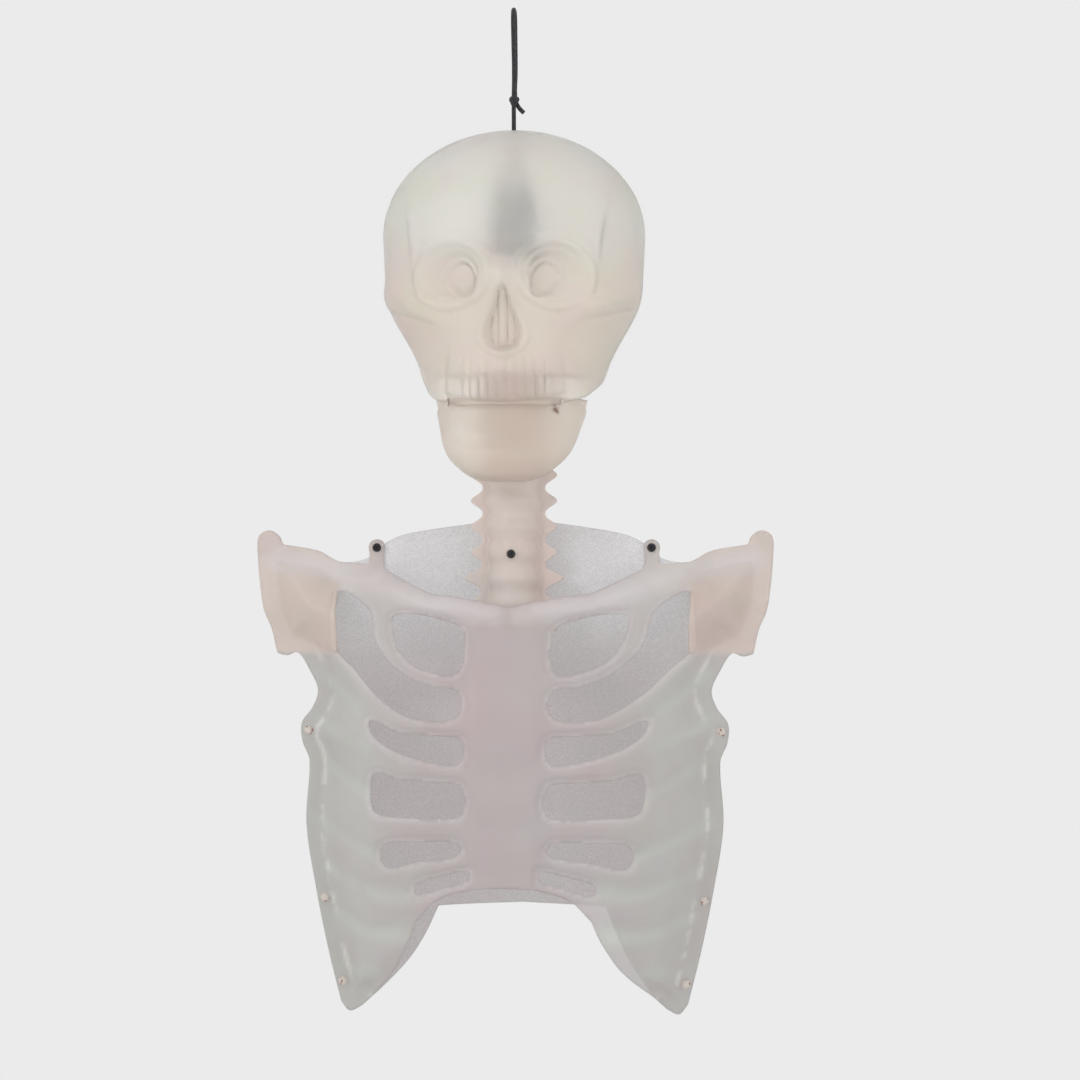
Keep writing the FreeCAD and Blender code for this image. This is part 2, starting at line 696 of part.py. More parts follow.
for label, way in (("neck_front_shell", -1), ("neck_back_shell", 1)):
    rim = lobe_outline().extrude(Vec(0, way * wall, 0))
    rim = rim.fuse(rim.mirror(Vec(0, 0, 0), Vec(1, 0, 0))).cut(neck_hollow)
    half = slab(-WIDE, WIDE, min(0, way * WIDE), max(0, way * WIDE), -2 * WIDE, 0)
    shell = neck_tube.common(half).fuse(rim)
    shell.translate(Vec(0, way * seam / 2, 0))
    shell = shell.cut(rod(screw_hole, (0, -WIDE / 4, neck_screw_z), (0, WIDE / 4, neck_screw_z)))
    feature(largest(shell), label)

# ---------------------------------------------------------------- screws, nuts and rivets


def pan_screw(name, x, z, head_y, length):
    """A pan-head screw along Y, whose head faces the front."""
    shank = primitive("Part::Cylinder", name + "_shank", (x, head_y, z), "Y",
                      Radius="Sizes.screw_radius")
    shank.setExpression("Height", f"{length:.3f} mm")
    head = primitive("Part::Cone", name + "_head", (x, head_y, z), "-Y",
                     Radius1="Sizes.screw_head_radius", Radius2="Sizes.screw_head_radius * 0.7",
                     Height="Sizes.screw_head_rise")
    recess = primitive("Part::Prism", name + "_recess",
                       (x, head_y - size("screw_head_rise") * 0.45, z), "-Y",
                       Circumradius="Sizes.screw_head_radius * 0.45",
                       Height="Sizes.screw_head_rise")
    recess.Polygon = 4
    body = joined(name + "_body", [shank, head])
    cut = doc.addObject("Part::Cut", name)
    cut.Base, cut.Tool = body, recess
    return cut


def hex_nut(name, x, z, seat_y):
    """A hexagon nut along Y, on the screw's end."""
    hexagon = primitive("Part::Prism", name + "_hexagon", (x, seat_y, z), "Y",
                        Circumradius="Sizes.nut_across / 1.7320508",
                        Height="Sizes.nut_rise")
    hexagon.Polygon = 6
    bore = primitive("Part::Cylinder", name + "_bore", (x, seat_y - 1, z), "Y",
                     Radius="Sizes.screw_radius + 0.02", Height="Sizes.nut_rise + 2")
    nut = doc.addObject("Part::Cut", name)
    nut.Base, nut.Tool = hexagon, bore
    return nut


flange_outside = seam + wall
collar_length = 2 * flange_outside + size("nut_rise") + 1.2
grouped("collar_screws", [pan_screw("collar_screw_" + word, side * lug_x, lug_z,
                                    -flange_outside - 0.02, collar_length)
                          for word, side in (("left", -1), ("right", 1))])
grouped("collar_nuts", [hex_nut("collar_nut_" + word, side * lug_x, lug_z, flange_outside + 0.02)
                        for word, side in (("left", -1), ("right", 1))])
front_of_neck = neck_radius + seam / 2
behind_back = seam + back_depth(0, neck_screw_z) + wall
neck_length = front_of_neck + behind_back + size("nut_rise") + 1.4
keep(pan_screw("neck_screw", 0, neck_screw_z, -front_of_neck - 0.02, neck_length), "neck_screw")
keep(hex_nut("neck_nut", 0, neck_screw_z, behind_back + 0.35), "neck_nut")

seam_rivets = []
for index, (x, z) in enumerate(rivet_places):
    seam_rivets.append(rivet(f"seam_rivet_{index + 1}", (x, -flange_outside - 0.02, z),
                             (x, flange_outside + 0.02, z), "Y"))
grouped("seam_rivets", seam_rivets)

# ---------------------------------------------------------------- light unit

unit_top = crown - wall - 0.8
neck_low = unit_top - size("unit_neck_rise")
shoulder_low = neck_low - size("unit_shoulder_rise")
body_low = shoulder_low - size("unit_body_rise")


def bind(sketch, index, expression):
    """Tie a sketch constraint to the sheet."""
    sketch.setExpression(f"Constraints[{index}]", expression)


def lathe_body(label, rows):
    """A PartDesign body turned from a closed half profile about Z."""
    body = doc.addObject("PartDesign::Body", label + "_body")
    plane = next(f for f in body.Origin.OriginFeatures if f.Role == "XZ_Plane")
    sketch = body.newObject("Sketcher::SketchObject", label + "_profile")
    sketch.AttachmentSupport = [(plane, "")]
    sketch.MapMode = "FlatFace"
    points = [Vec(radius, height, 0) for radius, height in rows]
    for a, b in zip(points, points[1:] + points[:1]):
        sketch.addGeometry(Part.LineSegment(a, b), False)
    turned_body = body.newObject("PartDesign::Revolution", label + "_turned")
    turned_body.Profile = sketch
    turned_body.ReferenceAxis = (sketch, ["V_Axis"])
    turned_body.Angle = 360.0
    return body


unit_wall = size("unit_wall")
unit_radius = size("unit_radius")
unit_neck = size("unit_neck_radius")
knot_seat = unit_top - unit_wall - 1.2
housing = lathe_body("light_housing", [
    (cord_hole, unit_top), (unit_neck, unit_top), (unit_neck, neck_low),
    (unit_radius, shoulder_low), (unit_radius, body_low),
    (unit_radius - unit_wall, body_low), (unit_radius - unit_wall, shoulder_low - 1),
    (unit_neck - unit_wall, neck_low - 1), (unit_neck - unit_wall, knot_seat),
    (cord_hole, knot_seat),
])
keep(housing, "light_housing")

cap_top = body_low - 0.1
cap_low = cap_top - size("cap_rise")
skirt = unit_radius - unit_wall - 0.1
cap = lathe_body("battery_cap", [
    (0, cap_low), (unit_radius - 2, cap_low), (unit_radius, cap_low + 2), (unit_radius, cap_top),
    (skirt, cap_top), (skirt, cap_top + 4), (skirt - unit_wall, cap_top + 4),
    (skirt - unit_wall, cap_low + unit_wall + 1), (0, cap_low + unit_wall + 1),
])
doc.recompute()
lamp_x, switch_x = -6.0, 5.0
lamp_radius = size("lamp_radius")
switch_long = size("switch_length") + size("switch_travel") + 2 * size("switch_gap")
switch_wide = size("switch_width") + 2 * size("switch_gap")


def cap_pocket(label, draw):
    """A hole through the cap's bottom, drawn in a sketch under it."""
    plane = next(f for f in cap.Origin.OriginFeatures if f.Role == "XY_Plane")
    sketch = cap.newObject("Sketcher::SketchObject", label + "_outline")
    sketch.AttachmentSupport = [(plane, "")]
    sketch.MapMode = "FlatFace"
    sketch.AttachmentOffset = FreeCAD.Placement(Vec(0, 0, cap_low - 1), FreeCAD.Rotation())
    draw(sketch)
    pocket = cap.newObject("PartDesign::Pocket", label)
    pocket.Profile = sketch
    pocket.Length = unit_wall + 3
    pocket.Reversed = True
    return pocket


def draw_lamp_hole(sketch):
    """The round hole for the lamp."""
    sketch.addGeometry(Part.Circle(Vec(lamp_x, 0, 0), Vec(0, 0, 1), lamp_radius + 0.1), False)
    sketch.addConstraint(Sketcher.Constraint("Radius", 0, lamp_radius + 0.1))
    bind(sketch, 0, "Sizes.lamp_radius + 0.1")


def draw_switch_slot(sketch):
    """The straight slot that the switch slides in."""
    x0, x1 = switch_x - switch_long / 2, switch_x + switch_long / 2
    y0, y1 = -switch_wide / 2, switch_wide / 2
    corners = [Vec(x0, y0, 0), Vec(x1, y0, 0), Vec(x1, y1, 0), Vec(x0, y1, 0)]
    for a, b in zip(corners, corners[1:] + corners[:1]):
        sketch.addGeometry(Part.LineSegment(a, b), False)


cap_before = cap.Shape.Volume
cap_pocket("lamp_hole", draw_lamp_hole)
cap_pocket("switch_slot", draw_switch_slot)
keep(cap, "battery_cap")

inside_floor = cap_low + unit_wall + 1
board_low = inside_floor + 3.6
keep(primitive("Part::Cylinder", "lamp_board", (0, 0, board_low), "Z",
               Radius="Sizes.unit_radius - 2 * Sizes.unit_wall - 0.4",
               Height="Sizes.board_rise"), "lamp_board")
lamp_base = board_low - 0.02
lamp_stem = primitive("Part::Cylinder", "lamp_stem", (lamp_x, 0, lamp_base), "-Z",
                      Radius="Sizes.lamp_radius", Height="Sizes.lamp_rise")
lamp_tip = primitive("Part::Sphere", "lamp_tip", (lamp_x, 0, lamp_base - size("lamp_rise")), "Z",
                     Radius="Sizes.lamp_radius")
keep(joined("led_lamp", [lamp_stem, lamp_tip]), "led_lamp")
slider = primitive("Part::Box", "switch_slider",
                   (switch_x - size("switch_travel") / 2 - size("switch_length") / 2,
                    -size("switch_width") / 2, cap_low - 1.5), "Z",
                   Length="Sizes.switch_length", Width="Sizes.switch_width")
slider.setExpression("Height", f"{board_low - 0.3 - (cap_low - 1.5):.3f} mm")
keep(slider, "switch_slider")

contact_rise = 0.5
first_contact = board_low + size("board_rise") + 0.05
cells_low = first_contact + contact_rise + 0.05
cell_step = size("cell_rise") + 0.05
grouped("button_cells", [primitive("Part::Cylinder", f"button_cell_{k + 1}",
                                   (0, 0, cells_low + k * cell_step), "Z",
                                   Radius="Sizes.cell_radius", Height="Sizes.cell_rise")
                         for k in range(3)])
contacts = []
for word, height in (("lower", first_contact), ("upper", cells_low + 3 * cell_step)):
    contact = primitive("Part::Cylinder", "contact_" + word, (0, 0, height), "Z",
                        Radius="Sizes.cell_radius + 0.8")
    contact.setExpression("Height", f"{contact_rise} mm")
    contacts.append(contact)
grouped("battery_contacts", contacts)

# ---------------------------------------------------------------- cord

stop_z = knot_seat - size("stop_knot_radius") * 1.25
cord_radius = size("cord_radius")
CORD_POINTS = [
    (0.0, 0.0, -93.0), (0.0, -0.2, -75.0), (0.0, -1.6, -59.0), (0.6, -3.4, -42.0),
    (0.3, -5.6, -22.0), (0.0, -6.4, -1.4), (0.0, 6.4, -1.4), (0.3, 5.6, -22.0),
    (0.8, 3.4, -42.0), (0.2, 1.7, -55.0), (1.6, 1.5, -63.0), (6.2, 0.8, -67.0),
]


def cord_tube(points, radius):
    """A tube of straight runs joined by tangent arcs, each as large as its runs allow."""
    route = [Vec(*p) for p in points]
    edges, start, length, radii = [], route[0], 0.0, []
    for before, corner, after in zip(route, route[1:], route[2:]):
        into, out = corner - before, after - corner
        turn = into.getAngle(out)
        shorter = min(into.Length, out.Length)
        trim = 0.45 * shorter
        bend = trim / math.tan(turn / 2)
        radii.append(bend)
        first = corner - into.normalize() * trim
        second = corner + out.normalize() * trim
        inward = (first + second) * 0.5 - corner
        inward.normalize()
        middle = corner + inward * (bend / math.cos(turn / 2) - bend)
        edges += [Part.LineSegment(start, first).toShape(),
                  Part.Arc(first, middle, second).toShape()]
        start = second
    edges.append(Part.LineSegment(start, route[-1]).toShape())
    path = Part.Wire(edges)
    section = Part.Wire(Part.Circle(route[0], route[1] - route[0], radius).toShape())
    tube = path.makePipeShell([section], True, False)
    print("cord: length", round(path.Length, 1), "volume share",
          round(tube.Volume / (math.pi * radius**2 * path.Length), 4))
    print("cord radii:", [round(value, 1) for value in radii])
    return tube


feature(cord_tube(CORD_POINTS, cord_radius), "hanging_cord")


def knot(label, centre, radius_name, tall):
    """A knot's outer shape."""
    obj = primitive("Part::Ellipsoid", label, centre, "Z",
                    Radius2=f"Sizes.{radius_name}", Radius1=f"Sizes.{radius_name} * {tall}",
                    Radius3=f"Sizes.{radius_name}")
    obj.Angle1, obj.Angle2, obj.Angle3 = -90, 90, 360
    return keep(obj, label)


knot("cord_knot", (0.2, 0.1, -59.5), "knot_radius", 1.25)
knot("stop_knot", (0, 0, stop_z), "stop_knot_radius", 1.1)

# ---------------------------------------------------------------- checks and files

doc.recompute()
for obj in doc.Objects:
    if "Invalid" in obj.State or "Error" in obj.State:
        raise RuntimeError(f"{obj.Name} failed: {obj.State}")
if not cap.Shape.Volume < cap_before:
    raise RuntimeError("the cap's holes cut nothing")
for label, obj in nodes.items():
    shape = obj.Shape
    if shape.isNull() or not shape.isValid() or not shape.Solids:
        raise RuntimeError(f"{label} has no valid solid")
    shape.exportStep(f"parts/{label}.step")
    box = shape.BoundBox
    print(f"{label:24s} {len(shape.Solids)} solid(s) {shape.Volume:10.1f} mm3  "
          f"z {box.ZMin:.1f} to {box.ZMax:.1f}")
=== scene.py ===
"""Looks of the hanging skeleton half-figure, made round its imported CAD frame."""

from __future__ import annotations

import logging
import math
from dataclasses import dataclass, field
from enum import Enum
from typing import Callable

import bpy
import numpy as np
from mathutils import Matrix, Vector


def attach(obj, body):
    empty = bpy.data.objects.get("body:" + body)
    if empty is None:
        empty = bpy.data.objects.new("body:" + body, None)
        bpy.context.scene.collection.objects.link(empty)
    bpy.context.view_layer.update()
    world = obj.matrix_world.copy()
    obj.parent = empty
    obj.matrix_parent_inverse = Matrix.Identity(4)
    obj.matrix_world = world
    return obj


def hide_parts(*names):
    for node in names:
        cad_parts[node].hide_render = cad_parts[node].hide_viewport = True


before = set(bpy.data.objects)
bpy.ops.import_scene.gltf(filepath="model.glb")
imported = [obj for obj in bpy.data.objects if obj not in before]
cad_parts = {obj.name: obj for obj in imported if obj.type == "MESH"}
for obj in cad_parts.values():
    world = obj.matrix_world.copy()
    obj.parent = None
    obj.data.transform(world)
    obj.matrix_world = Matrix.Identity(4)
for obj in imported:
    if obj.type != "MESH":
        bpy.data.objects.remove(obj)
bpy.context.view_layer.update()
log = logging.getLogger("skeleton")

Field = Callable[[np.ndarray, np.ndarray], np.ndarray]
Place = Callable[[np.ndarray, np.ndarray], np.ndarray]
Line = list[tuple[float, float]]
Colour = tuple[float, float, float]
MM = 0.001
WALL = 1.5
SEAM = 0.2
SKULL_SEAM = 0.08
CROWN = -80.0
CHUNK = 4096


class Half(Enum):
    """Which half of a two-part shell a piece is."""

    FRONT = -1
    BACK = 1


# ---------------------------------------------------------------- curves and meshes


def bump(distance: np.ndarray, width: float) -> np.ndarray:
    """A rounded bump: 1 where distance is 0, falling off as a bell curve of that width."""
    return np.exp(-0.5 * (distance / width) ** 2)


def ease(low: float, high: float, value: np.ndarray) -> np.ndarray:
    """From 0 below low to 1 above high, level at both ends: 3 t squared less 2 t cubed.

    Args:
        low: Where it starts to rise.
        high: Where it is 1.
        value: What is read.

    Returns:
        The share, in the shape of value.
    """
    share = np.clip((value - low) / (high - low), 0.0, 1.0)
    return share * share * (3 - 2 * share)


def through(points: list[tuple[float, ...]], per: int = 8) -> np.ndarray:
    """Smooth curve through points: a cubic between each two, along its neighbours' chord.

    Args:
        points: Places to pass through, in order.
        per: Samples for each stretch.

    Returns:
        The curve's points, the last one included.
    """
    p = np.array(points, float)
    padded = np.vstack([2 * p[0] - p[1], p, 2 * p[-1] - p[-2]])
    step = np.linalg.norm(np.diff(padded, axis=0), axis=1)[:, None]
    slope = (padded[2:] - padded[:-2]) / (step[1:] + step[:-1])
    t = np.linspace(0, 1, per, endpoint=False)[None, :, None]
    a, b, span = p[:-1, None], p[1:, None], step[1:-1, None]
    m, n = slope[:-1, None] * span, slope[1:, None] * span
    curve = ((2 * t**3 - 3 * t**2 + 1) * a + (t**3 - 2 * t**2 + t) * m
             + (3 * t**2 - 2 * t**3) * b + (t**3 - t**2) * n)
    return np.vstack([curve.reshape(-1, p.shape[1]), p[-1:]])


def closed_through(points: Line, per: int = 8) -> np.ndarray:
    """Smooth curve from the first point round to the last; a straight run closes it.

    Args:
        points: Places to pass through, in order.
        per: Samples for each stretch.

    Returns:
        The ring's points.
    """
    curve = through(points[-2:] + points + points[:3], per)
    return curve[2 * per:(len(points) + 1) * per + 1]


def edge_distance(x: np.ndarray, z: np.ndarray, line: np.ndarray) -> np.ndarray:
    """Distance from each place to a line of points.

    Args:
        x: Across, any shape.
        z: Height, the same shape.
        line: Points (n, 2) joined by straight runs.

    Returns:
        The least distance to any run, in the shape of x.
    """
    at = np.stack([x.ravel(), z.ravel()], axis=1)
    best = np.full(len(at), np.inf)
    start, run = line[:-1], np.diff(line, axis=0)
    square = np.maximum((run**2).sum(1), 1e-12)
    for k in range(0, len(at), CHUNK):
        away = at[k:k + CHUNK, None] - start[None]
        share = np.clip((away * run).sum(2) / square, 0, 1)
        gap = away - share[..., None] * run
        best[k:k + CHUNK] = np.sqrt((gap**2).sum(2).min(1))
    return best.reshape(x.shape)


def inside_distance(x: np.ndarray, z: np.ndarray, ring: np.ndarray) -> np.ndarray:
    """Signed distance to a closed ring: positive where a level line crosses it an odd number of times.

    Args:
        x: Across, any shape.
        z: Height, the same shape.
        ring: The ring's points (n, 2).

    Returns:
        The distance, in the shape of x.
    """
    closed = np.vstack([ring, ring[:1]])
    px, pz = x.ravel()[:, None], z.ravel()[:, None]
    x0, z0, x1, z1 = closed[:-1, 0], closed[:-1, 1], closed[1:, 0], closed[1:, 1]
    sign = np.empty(px.shape[0])
    rise = np.where(np.abs(z1 - z0) < 1e-12, 1e-12, z1 - z0)
    for k in range(0, len(px), CHUNK):
        a, b = px[k:k + CHUNK], pz[k:k + CHUNK]
        crossed = ((z0 > b) != (z1 > b)) & (a < (x1 - x0) * (b - z0) / rise + x0)
        sign[k:k + CHUNK] = np.where(crossed.sum(1) % 2 == 1, 1.0, -1.0)
    return sign.reshape(x.shape) * edge_distance(x, z, closed)


def mesh_object(name: str, points: np.ndarray, faces: np.ndarray,
                paint: dict[str, np.ndarray] | None = None,
                smooth: bool = True) -> bpy.types.Object:
    """Put points and faces into a new object.

    Args:
        name: The piece's name.
        points: Places (n, 3), in millimetres.
        faces: Corner indices (m, 3) or (m, 4), pointing outwards.
        paint: Optional named values from 0 to 1, one per point, for the finish to read.
        smooth: Whether the faces are shaded smooth.

    Returns:
        The object, at the origin and linked to the scene.
    """
    mesh = bpy.data.meshes.new(name)
    mesh.vertices.add(len(points))
    mesh.vertices.foreach_set("co", (points * MM).astype(np.float32).ravel())
    corners = faces.shape[1]
    mesh.loops.add(faces.size)
    mesh.loops.foreach_set("vertex_index", faces.astype(np.int32).ravel())
    mesh.polygons.add(len(faces))
    mesh.polygons.foreach_set("loop_start", np.arange(0, faces.size, corners, dtype=np.int32))
    mesh.polygons.foreach_set("use_smooth", np.full(len(faces), smooth))
    for key, values in (paint or {}).items():
        layer = mesh.attributes.new(key, "FLOAT", "POINT")
        layer.data.foreach_set("value", np.clip(values, 0, 1).astype(np.float32).ravel())
    mesh.update(calc_edges=True)
    mesh.validate()
    obj = bpy.data.objects.new(name, mesh)
    bpy.context.scene.collection.objects.link(obj)
    return obj


def grid_faces(rows: int, columns: int) -> np.ndarray:
    """Corner indices of a grid's cells, as quads."""
    index = np.arange(rows * columns).reshape(rows, columns)
    return np.stack([index[:-1, :-1], index[1:, :-1], index[1:, 1:], index[:-1, 1:]],
                    axis=-1).reshape(-1, 4)


def trimmed_grid(u: np.ndarray, v: np.ndarray, inside: Field, place: Place,
                 flip: bool = False) -> tuple[np.ndarray, np.ndarray, np.ndarray, np.ndarray]:
    """A grid of two parameters, kept where inside is above 0, with its edge drawn onto 0.

    A cell stays if its corners' mean is inside. Points on the cut edge then move along the
    gradient of inside, by its value over its slope, three times.

    Args:
        u: First parameter's levels.
        v: Second parameter's levels.
        inside: Signed measure of how far a place is inside the piece.
        place: Gives points (..., 3) for parameters.
        flip: Turns the faces over.

    Returns:
        Points and quads, with only the points that the quads use, and the points' parameters.
    """
    grid_u, grid_v = np.meshgrid(u, v, indexing="ij")
    value = inside(grid_u, grid_v)
    faces = grid_faces(len(u), len(v))
    flat = value.ravel()
    kept = flat[faces].mean(1) > 0
    on_kept = np.zeros(flat.size, bool)
    on_cut = np.zeros(flat.size, bool)
    on_kept[faces[kept]] = True
    on_cut[faces[~kept]] = True
    edge = np.where(on_kept & (on_cut | (flat < 0)))[0]
    step_u, step_v = u[1] - u[0], v[1] - v[0]
    pu, pv = grid_u.ravel().copy(), grid_v.ravel().copy()
    for _ in range(3):
        a, b = pu[edge], pv[edge]
        here = inside(a, b)
        du = (inside(a + 0.05 * step_u, b) - here) / (0.05 * step_u)
        dv = (inside(a, b + 0.05 * step_v) - here) / (0.05 * step_v)
        weight = np.maximum((du * step_u) ** 2 + (dv * step_v) ** 2, 1e-9)
        pu[edge] = a - np.clip(here * du * step_u**2 / weight, -0.8 * step_u, 0.8 * step_u)
        pv[edge] = b - np.clip(here * dv * step_v**2 / weight, -0.8 * step_v, 0.8 * step_v)
    pu = np.clip(pu, u.min(), u.max())
    pv = np.clip(pv, v.min(), v.max())
    faces = faces[kept]
    used, faces = np.unique(faces, return_inverse=True)
    faces = faces.reshape(-1, 4)
    if flip:
        faces = faces[:, ::-1]
    return place(pu[used], pv[used]), faces, pu[used], pv[used]


def thicken(obj: bpy.types.Object, wall: float = WALL) -> bpy.types.Object:
    """Give a skin its wall, inwards from its outer face.

    Args:
        obj: The skin.
        wall: Its thickness, in millimetres.

    Returns:
        The same object.
    """
    solid = obj.modifiers.new("wall", "SOLIDIFY")
    solid.thickness = wall * MM
    solid.offset = -1.0
    return obj


def endless_tube(name: str, path: np.ndarray, radius: float, sides: int) -> bpy.types.Object:
    """A round tube along a path that ends where it starts.

    Each ring is a circle in the plane square to the path, turned to face a fixed direction.

    Args:
        name: The piece's name.
        path: Points (n, 3), in millimetres.
        radius: The tube's radius.
        sides: Points round the tube.

    Returns:
        The tube.
    """
    tangent = np.roll(path, -1, axis=0) - np.roll(path, 1, axis=0)
    tangent /= np.linalg.norm(tangent, axis=1)[:, None]
    across = np.cross(tangent, np.array([0.31, 0.17, 0.93]))
    across /= np.linalg.norm(across, axis=1)[:, None]
    other = np.cross(tangent, across)
    angle = np.linspace(0, 2 * np.pi, sides, endpoint=False)[None, :, None]
    ring = np.cos(angle) * across[:, None] + np.sin(angle) * other[:, None]
    points = (path[:, None] + ring * radius).reshape(-1, 3)
    index = np.arange(len(path) * sides).reshape(len(path), sides)
    index = np.vstack([index, index[:1]])
    beside = np.roll(index, -1, axis=1)
    faces = np.stack([index[:-1], beside[:-1], beside[1:], index[1:]], axis=-1).reshape(-1, 4)
    return mesh_object(name, points, faces)


# ---------------------------------------------------------------- finishes


class Nodes:
    """A short way to write a material's nodes."""

    def __init__(self, name: str) -> None:
        """Start an empty material with a Principled shader."""
        self.material = bpy.data.materials.new(name)
        self.material.use_nodes = True
        self.tree = self.material.node_tree
        self.tree.nodes.clear()
        self.output = self.tree.nodes.new("ShaderNodeOutputMaterial")
        self.shader = self.tree.nodes.new("ShaderNodeBsdfPrincipled")
        self.join(self.shader.outputs[0], self.output.inputs["Surface"])
        self.place = self.tree.nodes.new("ShaderNodeTexCoord").outputs["Object"]

    def join(self, source: bpy.types.NodeSocket, target: bpy.types.NodeSocket) -> None:
        """Link two sockets."""
        self.tree.links.new(source, target)

    def noise(self, scale: float, detail: float = 2.0,
              stretch: tuple[float, float, float] = (1, 1, 1)) -> bpy.types.NodeSocket:
        """Noise in the object's own space.

        Args:
            scale: Features to the metre.
            detail: Octaves of finer noise.
            stretch: Share of the scale along each axis.

        Returns:
            The noise, from 0 to 1.
        """
        turn = self.tree.nodes.new("ShaderNodeMapping")
        turn.inputs["Scale"].default_value = stretch
        self.join(self.place, turn.inputs["Vector"])
        noise = self.tree.nodes.new("ShaderNodeTexNoise")
        noise.inputs["Scale"].default_value = scale
        noise.inputs["Detail"].default_value = detail
        self.join(turn.outputs[0], noise.inputs["Vector"])
        return noise.outputs["Fac"]

    def painted(self, key: str) -> bpy.types.NodeSocket:
        """A value painted on the mesh; it is 0 where there is none.

        Args:
            key: The value's name.

        Returns:
            The value.
        """
        node = self.tree.nodes.new("ShaderNodeAttribute")
        node.attribute_name = key
        return node.outputs["Fac"]

    def times(self, first: bpy.types.NodeSocket, second: bpy.types.NodeSocket) -> bpy.types.NodeSocket:
        """Multiply two values.

        Args:
            first: One value.
            second: The other.

        Returns:
            Their product.
        """
        node = self.tree.nodes.new("ShaderNodeMath")
        node.operation = "MULTIPLY"
        self.join(first, node.inputs[0])
        self.join(second, node.inputs[1])
        return node.outputs[0]

    def spread(self, value: bpy.types.NodeSocket, low: float, high: float, to_low: float,
               to_high: float) -> bpy.types.NodeSocket:
        """Map a value from one range to another, and clamp it.

        Args:
            value: What is read.
            low: Its value that gives to_low.
            high: Its value that gives to_high.
            to_low: The new range's start.
            to_high: The new range's end.

        Returns:
            The mapped value.
        """
        node = self.tree.nodes.new("ShaderNodeMapRange")
        for key, number in (("From Min", low), ("From Max", high), ("To Min", to_low),
                            ("To Max", to_high)):
            node.inputs[key].default_value = number
        self.join(value, node.inputs["Value"])
        return node.outputs["Result"]

    def mix(self, share: bpy.types.NodeSocket, first: Colour | bpy.types.NodeSocket,
            second: Colour | bpy.types.NodeSocket) -> bpy.types.NodeSocket:
        """Mix two colours.

        Args:
            share: How much of the second one there is.
            first: A colour or a socket.
            second: A colour or a socket.

        Returns:
            The mixed colour.
        """
        node = self.tree.nodes.new("ShaderNodeMix")
        node.data_type = "RGBA"
        self.join(share, node.inputs["Factor"])
        for key, colour in (("A", first), ("B", second)):
            socket = next(s for s in node.inputs if s.name == key and s.type == "RGBA")
            if isinstance(colour, bpy.types.NodeSocket):
                self.join(colour, socket)
            else:
                socket.default_value = (*colour, 1.0)
        return next(s for s in node.outputs if s.type == "RGBA")

    def relief(self, value: bpy.types.NodeSocket, strength: float, depth: float,
               after: bpy.types.NodeSocket | None = None) -> bpy.types.NodeSocket:
        """A fine relief in the shading.

        Args:
            value: The relief's height, from 0 to 1.
            strength: How much of it shows.
            depth: Its full height, in metres.
            after: A relief that this one lies on.

        Returns:
            The turned normal.
        """
        node = self.tree.nodes.new("ShaderNodeBump")
        node.inputs["Strength"].default_value = strength
        node.inputs["Distance"].default_value = depth
        self.join(value, node.inputs["Height"])
        if after is not None:
            self.join(after, node.inputs["Normal"])
        return node.outputs["Normal"]


